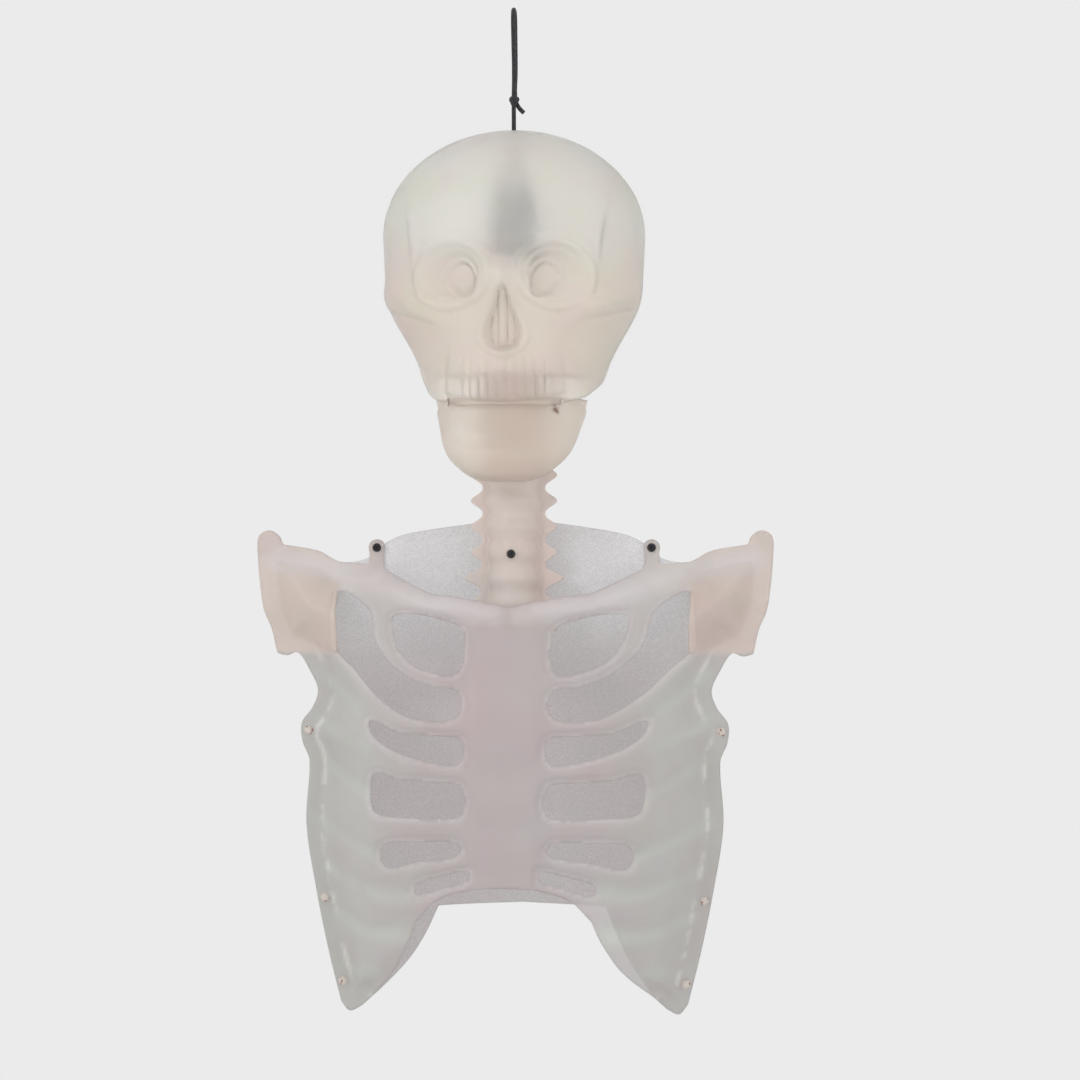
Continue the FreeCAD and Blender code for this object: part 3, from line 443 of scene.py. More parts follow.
@dataclass(frozen=True)
class FrostedSheet:
    """Thin frosted plastic: milky, mottled in two tints, and let through by light.

    Painted values change it: "groove" greys it, as painted shade in the rib grooves; "warm" turns it to a
    warmer tint;
    "pale" turns it to a tint of its own, which on the rib cage is painted highlight and painted light;
    "rust" stains it; and "crease" whitens it in flecks, partly the white of bent sheet and partly painted
    highlights.
    """

    name: str
    tint: Colour
    second: Colour
    solid: float = 1.0
    clear: float = 0.0
    ior: float = 1.3
    gloss: float = 0.36
    grain: float = 0.25
    speckle: float = 0.0
    # Tint of the painted shade in the rib grooves and towards the cage's sides.
    groove_shade_tint: Colour = (0.62, 0.63, 0.60)
    warmed: Colour = (0.80, 0.685, 0.62)
    # Pale tint: on the cage front, the painted highlight round the rib openings and on the collarbones.
    paled: Colour = (0.80, 0.76, 0.76)
    mottle: float = 0.0
    rose: Colour = (1.0, 0.82, 0.88)
    moss: Colour = (0.90, 1.0, 0.82)
    grain_shade: Colour = (0.45, 0.45, 0.45)
    # White of the crease flecks: partly bent sheet, partly painted highlight.
    whitening_and_highlight: Colour = (0.90, 0.885, 0.84)
    rust: Colour = (0.16, 0.05, 0.015)

    def shifted(self, shares: Colour) -> Colour:
        """The tint with each of its channels scaled, and none above full."""
        return tuple(min(1.0, c * k) for c, k in zip(self.tint, shares))

    def make(self) -> bpy.types.Material:
        """Build the sheet's material."""
        nodes = Nodes(self.name)
        cloud = nodes.spread(nodes.noise(11.0, 3.0), 0.38, 0.62, 0.0, 1.0)
        colour = nodes.mix(cloud, self.tint, self.second)
        # Painted shade: grey where groove is painted.
        colour = nodes.mix(nodes.painted("groove"), colour, self.groove_shade_tint)
        colour = nodes.mix(nodes.painted("warm"), colour, self.warmed)
        # Pale: on the rib cage, painted highlights and painted light.
        colour = nodes.mix(nodes.painted("pale"), colour, self.paled)
        if self.mottle:
            rose = nodes.spread(nodes.noise(19.0, 3.0), 0.49, 0.60, 0.0, self.mottle)
            moss = nodes.spread(nodes.noise(27.0, 3.0), 0.50, 0.61, 0.0, self.mottle)
            colour = nodes.mix(rose, colour, self.shifted(self.rose))
            colour = nodes.mix(moss, colour, self.shifted(self.moss))
        if self.speckle:
            grain = nodes.spread(nodes.noise(1150.0, 1.0), 0.35, 0.65, 0.0, self.speckle)
            colour = nodes.mix(grain, colour, self.shifted(self.grain_shade))
        # Crease flecks: the white of bent sheet and painted highlights.
        flecks = nodes.spread(nodes.noise(75.0, 3.0), 0.45, 0.58, 0.0, 1.0)
        white = nodes.times(flecks, nodes.painted("crease"))
        colour = nodes.mix(white, colour, self.whitening_and_highlight)
        colour = nodes.mix(nodes.painted("rust"), colour, self.rust)
        nodes.join(colour, nodes.shader.inputs["Base Color"])
        rough = nodes.spread(nodes.noise(30.0, 3.0), 0.3, 0.7, self.gloss - 0.08,
                             self.gloss + 0.12)
        nodes.join(rough, nodes.shader.inputs["Roughness"])
        ripple = nodes.relief(nodes.noise(38.0, 2.0), 0.35, 0.0012)
        stipple = nodes.relief(nodes.noise(900.0, 1.0), self.grain, 0.0003, ripple)
        nodes.join(stipple, nodes.shader.inputs["Normal"])
        nodes.shader.inputs["IOR"].default_value = self.ior
        nodes.shader.inputs["Transmission Weight"].default_value = self.clear
        nodes.shader.inputs["Alpha"].default_value = self.solid
        return nodes.material


@dataclass(frozen=True)
class WornMetal:
    """Metal of a small fastener, with rust or dirt in patches."""

    name: str
    colour: Colour
    patch: Colour
    patches: float
    rough: float = 0.4
    metallic: float = 0.9

    def make(self) -> bpy.types.Material:
        """Build the metal's material."""
        nodes = Nodes(self.name)
        share = nodes.spread(nodes.noise(420.0, 3.0), 0.62 - self.patches * 0.3,
                             0.70 - self.patches * 0.3, 0.0, 1.0)
        nodes.join(nodes.mix(share, self.colour, self.patch), nodes.shader.inputs["Base Color"])
        nodes.join(nodes.spread(share, 0.0, 1.0, self.rough, 0.85),
                   nodes.shader.inputs["Roughness"])
        nodes.shader.inputs["Metallic"].default_value = self.metallic
        nodes.join(nodes.relief(nodes.noise(900.0, 2.0), 0.3, 0.0002),
                   nodes.shader.inputs["Normal"])
        return nodes.material


@dataclass(frozen=True)
class Moulded:
    """Moulded plastic with a fine spark-eroded grain."""

    name: str
    colour: Colour
    rough: float = 0.5

    def make(self) -> bpy.types.Material:
        """Build the plastic's material."""
        nodes = Nodes(self.name)
        darker = tuple(c * 0.8 for c in self.colour)
        cloud = nodes.spread(nodes.noise(60.0, 3.0), 0.35, 0.65, 0.0, 1.0)
        nodes.join(nodes.mix(cloud, self.colour, darker), nodes.shader.inputs["Base Color"])
        nodes.join(nodes.spread(nodes.noise(90.0, 2.0), 0.3, 0.7, self.rough - 0.07,
                                self.rough + 0.1), nodes.shader.inputs["Roughness"])
        nodes.join(nodes.relief(nodes.noise(1500.0, 1.0), 0.25, 0.0001),
                   nodes.shader.inputs["Normal"])
        return nodes.material


@dataclass(frozen=True)
class SmokedHousing:
    """Smoked plastic of the light unit: pale at its neck and dark round its cells."""

    name: str
    pale: Colour = (0.62, 0.61, 0.58)
    dark: Colour = (0.13, 0.135, 0.145)
    top: float = -0.100
    bottom: float = -0.124

    def make(self) -> bpy.types.Material:
        """Build the housing's material."""
        nodes = Nodes(self.name)
        split = nodes.tree.nodes.new("ShaderNodeSeparateXYZ")
        nodes.join(nodes.place, split.inputs[0])
        share = nodes.spread(split.outputs["Z"], self.bottom, self.top, 0.0, 1.0)
        nodes.join(nodes.mix(share, self.dark, self.pale), nodes.shader.inputs["Base Color"])
        nodes.join(nodes.spread(nodes.noise(90.0, 2.0), 0.3, 0.7, 0.4, 0.55),
                   nodes.shader.inputs["Roughness"])
        nodes.join(nodes.relief(nodes.noise(1500.0, 1.0), 0.25, 0.0001),
                   nodes.shader.inputs["Normal"])
        return nodes.material


@dataclass(frozen=True)
class BraidedCord:
    """Black cord whose strands cross along it."""

    name: str
    colour: Colour = (0.012, 0.012, 0.014)
    lit: float = 3.2

    def make(self) -> bpy.types.Material:
        """Build the cord's material."""
        nodes = Nodes(self.name)
        strands = nodes.noise(900.0, 2.0, stretch=(1, 1, 0.45))
        share = nodes.spread(strands, 0.4, 0.65, 0.0, 1.0)
        nodes.join(nodes.mix(share, self.colour, tuple(c * self.lit for c in self.colour)),
                   nodes.shader.inputs["Base Color"])
        nodes.shader.inputs["Roughness"].default_value = 0.82
        nodes.shader.inputs["Sheen Weight"].default_value = 0.15
        nodes.join(nodes.relief(strands, 0.8, 0.0004), nodes.shader.inputs["Normal"])
        return nodes.material


SKULL_SHEET = FrostedSheet("skull_sheet", (0.995, 0.975, 0.94), (0.985, 0.985, 0.95), clear=0.75,
                           gloss=0.42, mottle=0.2, warmed=(0.985, 0.93, 0.865), paled=(0.965, 0.90, 0.835))
# The jaw's sheet is a darker, browner copy of the skull's: painted shade under the upper face.
JAW_SHEET = FrostedSheet("jaw_sheet", (0.885, 0.80, 0.715), (0.885, 0.815, 0.735), clear=0.6,
                         gloss=0.36, mottle=0.14)
NECK_SHEET = FrostedSheet("neck_sheet", (0.86, 0.74, 0.69), (0.83, 0.76, 0.71), solid=0.55)
CAGE_SHEET = FrostedSheet("cage_sheet", (0.585, 0.505, 0.508), (0.565, 0.52, 0.515), solid=0.56,
                          gloss=0.4, mottle=0.17)
# The back's tint is darkened as painted shade inside the cage; its pale tint is painted light on the top
# above the cage.
BACK_SHEET = FrostedSheet("back_sheet", (0.655, 0.565, 0.58), (0.62, 0.575, 0.575), solid=0.5,
                          gloss=0.5, grain=0.6, speckle=0.35, paled=(0.86, 0.86, 0.88))
INSERT_SHEET = FrostedSheet("insert_sheet", (0.82, 0.70, 0.63), (0.82, 0.72, 0.65), solid=0.6)
RIVET_METAL = WornMetal("rivet_metal", (0.66, 0.60, 0.55), (0.30, 0.11, 0.04), 0.12, 0.5, 0.35)
DARK_SCREW = WornMetal("dark_screw", (0.03, 0.03, 0.035), (0.09, 0.08, 0.07), 0.3, 0.45, 0.7)
BRIGHT_CELL = WornMetal("bright_cell", (0.70, 0.70, 0.71), (0.5, 0.48, 0.45), 0.2, 0.3, 1.0)
CONTACT_METAL = WornMetal("contact_metal", (0.75, 0.62, 0.38), (0.5, 0.4, 0.3), 0.2, 0.3, 1.0)
DARK_PLASTIC = Moulded("dark_plastic", (0.035, 0.038, 0.045), 0.45)
HOUSING = SmokedHousing("smoked_plastic")
BOARD = Moulded("board", (0.04, 0.20, 0.09), 0.4)
LAMP_LENS = Moulded("lamp_lens", (0.85, 0.84, 0.78), 0.15)
CORD_FINISH = BraidedCord("black_cord")
Finish = FrostedSheet | WornMetal | Moulded | SmokedHousing | BraidedCord


def dress(obj: bpy.types.Object, material: bpy.types.Material) -> bpy.types.Object:
    """Give an object one material.

    Args:
        obj: The object.
        material: What it gets, in each of its slots.

    Returns:
        The same object.
    """
    if obj.data.materials:
        for index in range(len(obj.data.materials)):
            obj.data.materials[index] = material
    else:
        obj.data.materials.append(material)
    return obj


def stand_in(piece: bpy.types.Object, body: str, node: str) -> None:
    """Attach a detailed piece to the body that it moves with, and hide the CAD node that it replaces.

    Args:
        piece: The piece.
        body: The body that it moves with.
        node: The CAD node that it replaces.
    """
    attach(piece, body)
    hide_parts(node)


# ---------------------------------------------------------------- cord


@dataclass
class HangingCord:
    """The black cord: a loop over the hook, the knot, and the run into the crown."""

    radius: float = 1.4
    length: float = 166.0
    knot_place: tuple[float, float, float] = (0.2, 0.1, -59.5)
    stop_place: tuple[float, float, float] = (0.0, 0.0, -89.5)
    points: list[tuple[float, float, float]] = field(default_factory=lambda: [
        (0.0, 0.0, -93.0), (0.0, -0.2, -75.0), (0.0, -1.6, -59.0), (0.6, -3.4, -42.0),
        (0.3, -5.6, -22.0), (0.0, -6.4, -1.4), (0.0, 6.4, -1.4), (0.3, 5.6, -22.0),
        (0.8, 3.4, -42.0), (0.2, 1.7, -55.0), (1.6, 1.5, -63.0), (6.2, 0.8, -67.0),
    ])

    def line(self) -> bpy.types.Object:
        """The cord itself: one smooth curve with the route's points as its controls."""
        data = bpy.data.curves.new("cord_line", "CURVE")
        data.dimensions = "3D"
        spline = data.splines.new("NURBS")
        spline.points.add(len(self.points) - 1)
        for control, place in zip(spline.points, self.points):
            control.co = (*(c * MM for c in place), 1.0)
        spline.order_u = 3
        spline.use_endpoint_u = True
        spline.resolution_u = 12
        data.bevel_depth = self.radius * MM
        data.bevel_resolution = 4
        data.use_fill_caps = True
        obj = bpy.data.objects.new("cord_line", data)
        bpy.context.scene.collection.objects.link(obj)
        return obj

    def knot(self, name: str, centre: tuple[float, float, float], size: float,
             thick: float) -> bpy.types.Object:
        """An overhand knot: a trefoil of three lobes, pulled tight.

        Args:
            name: The piece's name.
            centre: Its middle, in millimetres.
            size: Its largest reach from the middle, less the cord.
            thick: The cord's radius in it.

        Returns:
            The knot's turns as a closed tube.
        """
        t = np.linspace(0, 2 * np.pi, 72, endpoint=False)
        path = np.stack([(np.sin(t) + 2 * np.sin(2 * t)) / 3, -np.sin(3 * t) * 0.75,
                         (np.cos(t) - 2 * np.cos(2 * t)) / 3], axis=1) * size
        return endless_tube(name, path + np.array(centre), thick, 12)

    def build(self) -> None:
        finish = CORD_FINISH.make()
        line = dress(self.line(), finish)
        knot = dress(self.knot("cord_knot_turns", self.knot_place, 2.3, 1.35), finish)
        stop = dress(self.knot("stop_knot_turns", self.stop_place, 1.9, 1.2), finish)
        for piece, node in ((line, "hanging_cord"), (knot, "cord_knot"), (stop, "stop_knot")):
            stand_in(piece, "head", node)
        log.info("cord built")


# ---------------------------------------------------------------- skull and jaw


def profile_rows(rows: list[tuple[float, float, float, float]], at: np.ndarray) -> np.ndarray:
    """Smooth values down a table whose first column is the level.

    Args:
        rows: Level, then the values there.
        at: Levels to read.

    Returns:
        The values, with a last axis for the table's columns.
    """
    curve = through(rows, 24)
    levels = np.maximum.accumulate(curve[:, 0])
    return np.stack([np.interp(at, levels, curve[:, k]) for k in range(1, curve.shape[1])], -1)


def oval(angle: np.ndarray, half: np.ndarray, depth: np.ndarray,
         power: np.ndarray | float = 2.3) -> np.ndarray:
    """Distance from the axis to an oval's edge, where its two shares' powers add up to 1.

    Args:
        angle: From the front, in radians.
        half: Half its width.
        depth: Its reach to the front or back.
        power: 2 for an ellipse, and more for a squarer oval.

    Returns:
        The distance, in the shape of angle.
    """
    across = np.abs(np.sin(angle) / half) ** power
    along = np.abs(np.cos(angle) / depth) ** power
    return (across + along) ** (-1 / power)


@dataclass
class Skull:
    """Face and back of the skull: two formed halves over one oval shape with relief."""

    half_width: float = 82.0
    dome_rise: float = 66.0
    face_depth: float = 66.0
    back_depth: float = 74.0
    floor_drop: float = 156.0
    teeth_drop: float = 176.0
    neck_hole: float = 17.4
    row: float = 1.15
    slot_middle: float = 39.5
    slot_half: tuple[float, float] = (18.0, 5.5)
    slot_corner: float = 8.0
    profile: list[tuple[float, float, float, float]] = field(default_factory=lambda: [
        (66.0, 1.000, 1.000, 1.000), (90.0, 0.985, 0.980, 1.000),
        (106.0, 0.970, 0.970, 0.960), (118.0, 0.915, 0.970, 0.890),
        (134.0, 0.805, 0.960, 0.770), (146.0, 0.732, 0.960, 0.660),
        (156.0, 0.689, 0.970, 0.580), (166.0, 0.634, 0.970, 0.510),
        (180.0, 0.580, 0.945, 0.450),
    ])

    def sockets(self, side: np.ndarray, drop: np.ndarray) -> np.ndarray:
        """Eye sockets: a broad shallow bowl with a raised ring and a teardrop fold inside.

        Args:
            side: Across, from the middle.
            drop: Below the crown.

        Returns:
            How far the face stands out there.
        """
        x, y = np.abs(side) - 31.5, drop - 93.5
        long, short = x * 0.95 + y * 0.30, y * 0.95 - x * 0.30
        away = np.sqrt((long / 22.0) ** 2 + (short / 19.0) ** 2)
        bowl = -8.5 * (1 - ease(0.30, 1.0, away))
        ring = 2.4 * bump(away - 1.04, 0.075) + 1.0 * bump(away - 0.80, 0.05)
        fold = np.sqrt(((x + 2.0 + 0.3 * y) / 12.0) ** 2 + ((y - 2.5) / (11.0 - 0.3 * x)) ** 2)
        lid = 1.9 * bump(fold - 1.0, 0.07) - 1.2 * (1 - ease(0.80, 0.98, fold))
        return bowl + ring + lid

    def nose(self, side: np.ndarray, drop: np.ndarray) -> np.ndarray:
        """Nasal bones above a pear-shaped hollow with a rim, a septum and two folds.

        Args:
            side: Across, from the middle.
            drop: Below the crown.

        Returns:
            How far the face stands out there.
        """
        x = np.abs(side)
        reach = 3.5 + 9.5 * ease(102.0, 132.0, drop)
        away = np.sqrt((x / reach) ** 2 + (np.maximum(drop - 131.0, 0) / 11.0) ** 2
                       + (np.maximum(106.0 - drop, 0) / 7.0) ** 2)
        hollow = -6.0 * (1 - ease(0.70, 1.02, away))
        rim = 1.9 * bump(away - 1.12, 0.10) * ease(99.0, 108.0, drop)
        folds = (3.4 * bump(side + 0.5, 1.3) + 1.8 * bump(x - 5.5, 0.9)) * (away < 1.0) * (
            1 - ease(134.0, 140.0, drop))
        bridge = 6.0 * bump(x, 5.5) * bump(drop - 96.0, 9.0) - 2.5 * bump(x, 7.0) * bump(
            drop - 82.0, 5.0)
        crease = -1.5 * bump(x - 8.5 - 0.12 * (drop - 92.0), 0.9) * bump(drop - 92.0, 9.0)
        spine = 2.0 * bump(x, 3.0) * bump(drop - 144.0, 2.5)
        return hollow + rim + folds + bridge + crease + spine

    def teeth(self, side: np.ndarray, drop: np.ndarray) -> np.ndarray:
        """Upper teeth: rounded crowns under root ridges, and the lip line below them.

        Args:
            side: Across, from the middle.
            drop: Below the crown.

        Returns:
            How far the face stands out there.
        """
        x = side
        arch = 159.5 - 0.004 * x**2
        near = 1 - ease(24.0, 31.0, np.abs(x))
        tooth = np.abs(np.cos(np.pi * x / 5.6)) ** 0.7
        crowns = near * ease(arch, arch + 2.0, drop) * (1 - ease(arch + 11.0, arch + 12.5, drop))
        roots = near * ease(142.0, 152.0, drop) * (1 - ease(arch - 1.5, arch + 1.5, drop))
        gum = 0.9 * bump(drop - arch + 0.6, 1.3) * near
        lip = -1.5 * bump(drop - arch - 13.8, 1.1) * (1 - ease(33.0, 44.0, np.abs(x)))
        corner = -1.4 * bump(np.abs(x) - 38.0, 1.6) * ease(138.0, 152.0, drop)
        swell = 2.2 * bump(x, 24.0) * bump(drop - 163.0, 10.0)
        return crowns * (1.9 * tooth - 0.4) + roots * 1.2 * (tooth - 0.4) + gum + lip + corner + swell

    def brow(self, side: np.ndarray, drop: np.ndarray) -> np.ndarray:
        """Brow ridges, temple hollows and the line where the temple meets the forehead.

        Args:
            side: Across, from the middle.
            drop: Below the crown.

        Returns:
            How far the face stands out there.
        """
        x = np.abs(side)
        arc = 70.0 + 0.011 * (x - 28.0) ** 2
        ridge = 3.2 * bump(drop - arc, 3.6) * bump(x - 28.0, 17.0)
        temple = -4.5 * bump(x - 70.0, 7.0) * bump(drop - 76.0, 17.0)
        line = 1.8 * bump(x - 60.0 + (drop - 60.0) * 0.12, 1.5) * bump(drop - 62.0, 18.0)
        frown = -0.8 * bump(x, 2.0) * bump(drop - 72.0, 6.0)
        return ridge + temple + line + frown

    def cheeks(self, side: np.ndarray, drop: np.ndarray) -> np.ndarray:
        """Cheekbones running back to the sides, with hollows under them.

        Args:
            side: Across, from the middle.
            drop: Below the crown.

        Returns:
            How far the face stands out there.
        """
        x = np.abs(side)
        bone = 114.0 - (x - 52.0) * 0.30
        ridge = 5.0 * bump(drop - bone, 5.5) * ease(34.0, 52.0, x)
        edge = -1.6 * bump(drop - bone - 7.5, 1.3) * ease(40.0, 54.0, x)
        under = -5.0 * bump(x - 47.0, 10.0) * bump(drop - 136.0, 10.0) + edge
        hole = -0.9 * bump(x - 33.0, 1.6) * bump(drop - 118.0, 2.0)
        seam = -0.8 * bump(drop - 104.0 - (x - 50.0) * 0.6, 1.2) * bump(x - 58.0, 6.0)
        return ridge + under + hole + seam

    def levels(self) -> tuple[float, float]:
        """The profile's first and last level."""
        return self.profile[0][0], self.profile[-1][0]

    def relief(self, side: np.ndarray, drop: np.ndarray) -> np.ndarray:
        """The face's whole relief over the plain oval."""
        return (self.sockets(side, drop) + self.nose(side, drop) + self.teeth(side, drop)
                + self.brow(side, drop) + self.cheeks(side, drop))

    def shape(self, angle: np.ndarray, drop: np.ndarray, inset: float = 0.0) -> np.ndarray:
        """Points of the outside, for an angle from the front and a drop from the crown.

        Above the widest level the oval shrinks as a dome's circle does; below it, it follows
        the profile. The face's relief fades out towards the seam.

        Args:
            angle: From the front, in radians, to the viewer's right.
            drop: Below the crown.
            inset: How far the points are drawn in.

        Returns:
            Points with a last axis of three.
        """
        bow = np.sqrt(np.clip(1 - ((self.dome_rise - drop) / self.dome_rise) ** 2, 1e-6, 1))
        rows = profile_rows(self.profile, np.clip(drop, *self.levels()))
        dome = drop < self.dome_rise
        half = self.half_width * np.where(dome, bow, rows[..., 0])
        front = self.face_depth * np.where(dome, bow, rows[..., 1])
        back = self.back_depth * np.where(dome, bow, rows[..., 2])
        facing = np.cos(angle)
        power = 2.0 + 0.3 * np.clip(drop / self.dome_rise - 0.4, 0, 1)
        reach = oval(angle, half, np.where(facing > 0, front, back), power)
        side = reach * np.sin(angle)
        face = self.relief(side, drop) * np.clip(1.6 * facing, 0, 1) * (facing > 0)
        nape = -1.2 * bump(drop - 118.0, 5.0) * bump(side, 30.0) * (facing <= 0)
        reach = reach + face + nape - inset
        return np.stack([reach * np.sin(angle), -reach * np.cos(angle), CROWN - drop], -1)

    def rim(self, place: np.ndarray) -> np.ndarray:
        """How far a place is above the rim, which rises from the teeth to the back.

        Args:
            place: Points (..., 3).

        Returns:
            The height over the rim.
        """
        teeth, back = CROWN - self.teeth_drop, CROWN - self.floor_drop - WALL
        low = np.interp(place[..., 1], [-60, -30, -12, 6, 60],
                        [teeth, teeth + 7.0, back - 5.0, back, back])
        return place[..., 2] - low

    def turn(self, half: Half, count: int) -> np.ndarray:
        """Angles from seam to seam round a half."""
        middle = 0.0 if half is Half.FRONT else np.pi
        return middle + np.linspace(-np.pi / 2, np.pi / 2, count)

    def highlights_and_scuffs(self, x: np.ndarray, level: np.ndarray) -> np.ndarray:
        """Painted highlights with scuffs, whitening the face: beside the teeth, at the temples and
        cheekbones.

        Args:
            x: Across.
            level: Below the crown.

        Returns:
            Values from 0 to 1.
        """
        side = np.abs(x)
        scuffs_and_highlights = bump(x + 29.0, 2.6) * bump(level - 158.0, 9.0)
        temple = bump(side - 61.0 + (level - 60.0) * 0.12, 1.4) * bump(level - 60.0, 20.0)
        cheek = bump(level - 116.0 + (side - 52.0) * 0.3, 2.0) * ease(56.0, 68.0, side)
        return np.maximum(np.maximum(0.8 * scuffs_and_highlights, 0.5 * temple), 0.5 * cheek)

    def half(self, name: str, half: Half) -> bpy.types.Object:
        """One half, from the seam round to the seam and from the crown down to the rim.

        Args:
            name: The piece's name.
            half: Which half it is.

        Returns:
            The half, with its wall.
        """
        dome = self.dome_rise * (1 - np.cos(np.linspace(np.radians(3), np.pi / 2, 44)))
        drop = np.concatenate([dome, np.arange(self.dome_rise + self.row, self.teeth_drop + 0.2,
                                               self.row)])
        rows = np.arange(len(drop), dtype=float)

        def place(a: np.ndarray, k: np.ndarray) -> np.ndarray:
            """Points for an angle and a row."""
            return self.shape(a, np.interp(k, rows, drop))

        points, faces, _, row = trimmed_grid(self.turn(half, 181), rows,
                                             lambda a, k: self.rim(place(a, k)), place)
        points[:, 1] += half.value * SKULL_SEAM
        level = np.interp(row, rows, drop)
        x, facing = points[:, 0], half is Half.FRONT
        # The crease value here is painted highlights with scuffs.
        paint = {"warm": ease(60.0, 112.0, level), "crease": self.highlights_and_scuffs(x, level) * facing,
                 "pale": ease(153.0, 160.0, level) * facing * (1 - ease(30.0, 40.0, np.abs(x)))}
        return thicken(mesh_object(name, points, faces, paint))

    def floor(self, name: str, half: Half) -> bpy.types.Object:
        """Half of the floor, with its share of the neck hole and the opening behind the teeth.

        Args:
            name: The piece's name.
            half: Which half it is.

        Returns:
            The floor, with its wall.
        """
        share = np.linspace(0, 1, 30)

        def place(a: np.ndarray, k: np.ndarray) -> np.ndarray:
            """Points from the neck hole out to the wall."""
            out = self.shape(a, np.full_like(a, self.floor_drop), WALL * 0.9)
            reach = np.hypot(out[..., 0], out[..., 1])
            r = self.neck_hole + (reach - self.neck_hole) * k
            z = np.full_like(r, CROWN - self.floor_drop)
            return np.stack([r * np.sin(a), -r * np.cos(a), z], -1)

        def inside(a: np.ndarray, k: np.ndarray) -> np.ndarray:
            """Distance outside the opening, a rounded rectangle behind the teeth."""
            p = place(a, k)
            dx = np.abs(p[..., 0]) - self.slot_half[0]
            dy = np.abs(p[..., 1] + self.slot_middle) - self.slot_half[1]
            outside = np.hypot(np.maximum(dx, 0), np.maximum(dy, 0)) - self.slot_corner
            return outside + np.minimum(np.maximum(dx, dy), 0)

        points, faces, _, _ = trimmed_grid(self.turn(half, 91), share, inside, place, flip=True)
        points[:, 1] += half.value * SKULL_SEAM
        return thicken(mesh_object(name, points, faces))

    def build(self) -> None:
        """Make both halves and their floors."""
        finish = SKULL_SHEET.make()
        for half, node in ((Half.FRONT, "skull_face_shell"), (Half.BACK, "skull_back_shell")):
            shell = dress(self.half(node + "_formed", half), finish)
            floor = dress(self.floor(node + "_floor", half), finish)
            for piece in (shell, floor):
                stand_in(piece, "head", node)
            log.info("%s built", node)


@dataclass
class Jaw:
    """The jaw: a formed cup, open at the top and back, tucked behind the teeth."""

    skull: Skull
    gap: float = 1.6
    top: float = 170.5
    bottom: float = 221.0
    closing: float = 12.0
    back_reach: float = 26.0
    specks: list[tuple[float, float, float]] = field(default_factory=lambda: [
        (30.6, -257.8, 1.0), (30.0, -254.4, 0.6), (31.8, -259.6, 0.5)])
    profile: list[tuple[float, float, float, float]] = field(default_factory=lambda: [
        (166.0, 47.0, 59.8, 0.0), (178.0, 46.6, 59.6, 2.0), (189.0, 44.0, 60.0, 10.0),
        (198.0, 41.5, 61.5, 18.0), (206.0, 37.5, 62.5, 25.0), (213.0, 31.0, 61.5, 30.0),
        (218.0, 24.5, 58.5, 33.0), (221.0, 16.5, 53.0, 35.0),
    ])

    def shape(self, angle: np.ndarray, drop: np.ndarray) -> np.ndarray:
        """Points of the outside: ovals whose middle moves forward towards the chin.

        Past the lowest level the drop stays, and the oval shrinks to close the cup.

        Args:
            angle: From the front, in radians.
            drop: Below the crown.

        Returns:
            Points with a last axis of three.
        """
        shrink = np.clip((drop - self.bottom) / self.closing, 0, 1)
        level = np.minimum(drop, self.bottom)
        rows = profile_rows(self.profile, np.clip(level, self.profile[0][0], self.bottom))
        half, front, middle = rows[..., 0], rows[..., 1], rows[..., 2]
        top = profile_rows(self.skull.profile, np.clip(level, *self.skull.levels()))
        share = 1 - ease(174.0, 179.0, level)
        half = half + share * (self.skull.half_width * top[..., 0] - WALL - self.gap - half)
        front = front + share * (self.skull.face_depth * top[..., 1] - WALL - self.gap
                                 + 0.6 - front)
        depth = np.where(np.cos(angle) > 0, front - middle, self.back_reach)
        reach = oval(angle, half, np.maximum(depth, 1.0)) * (1 - shrink)
        side = reach * np.sin(angle)
        chin = 2.0 * bump(level - 207.0, 6.0) * bump(side, 13.0)
        hollow = -1.8 * bump(level - 196.0, 4.0) * bump(side, 17.0)
        dents = -1.2 * bump(np.abs(side) - 34.0, 5.0) * bump(level - 192.0, 6.0)
        reach = reach + (chin + hollow + dents) * np.clip(np.cos(angle), 0, 1) * (1 - shrink)
        return np.stack([reach * np.sin(angle), -middle - reach * np.cos(angle),
                         CROWN - level - 0.4 * shrink], -1)

    def back(self, place: np.ndarray) -> np.ndarray:
        """How far a place is in front of the sloping back edge.

        Args:
            place: Points (..., 3).

        Returns:
            The distance along the depth.
        """
        edge = np.interp(place[..., 2], [CROWN - 217, CROWN - 192, CROWN - 178],
                         [-45.0, -24.0, -12.0])
        return edge - place[..., 1]

    def build(self) -> None:
        """Make the cup, with its outside from the rim down over the chin."""
        turn = np.linspace(-np.pi * 0.62, np.pi * 0.62, 150)
        drop = np.concatenate([np.arange(self.top, self.bottom, 1.1), self.bottom
                               + np.array([0.0, 2.0, 4.0, 6.0, 8.0, 10.0, 11.8])])
        index = np.arange(len(drop), dtype=float)

        def place(a: np.ndarray, k: np.ndarray) -> np.ndarray:
            """Points for an angle and a row."""
            return self.shape(a, np.interp(k, index, drop))

        points, faces, _, _ = trimmed_grid(turn, index, lambda a, k: self.back(place(a, k)), place)
        x, z, front = points[:, 0], points[:, 2], points[:, 1] < -30.0
        rust = sum(bump(np.hypot(x - a, z - b), size) for a, b, size in self.specks) * front
        # White flecks on the jaw's left: scuffs and painted highlight.
        scuffs_and_highlights = bump(x + 29.0, 3.2) * bump(z + 272.0, 9.0) * front
        paint = {"rust": rust, "crease": scuffs_and_highlights}
        jaw = dress(thicken(mesh_object("jaw_formed", points, faces, paint)), JAW_SHEET.make())
        stand_in(jaw, "jaw", "jaw_shell")
        log.info("jaw built")


# ---------------------------------------------------------------- neck


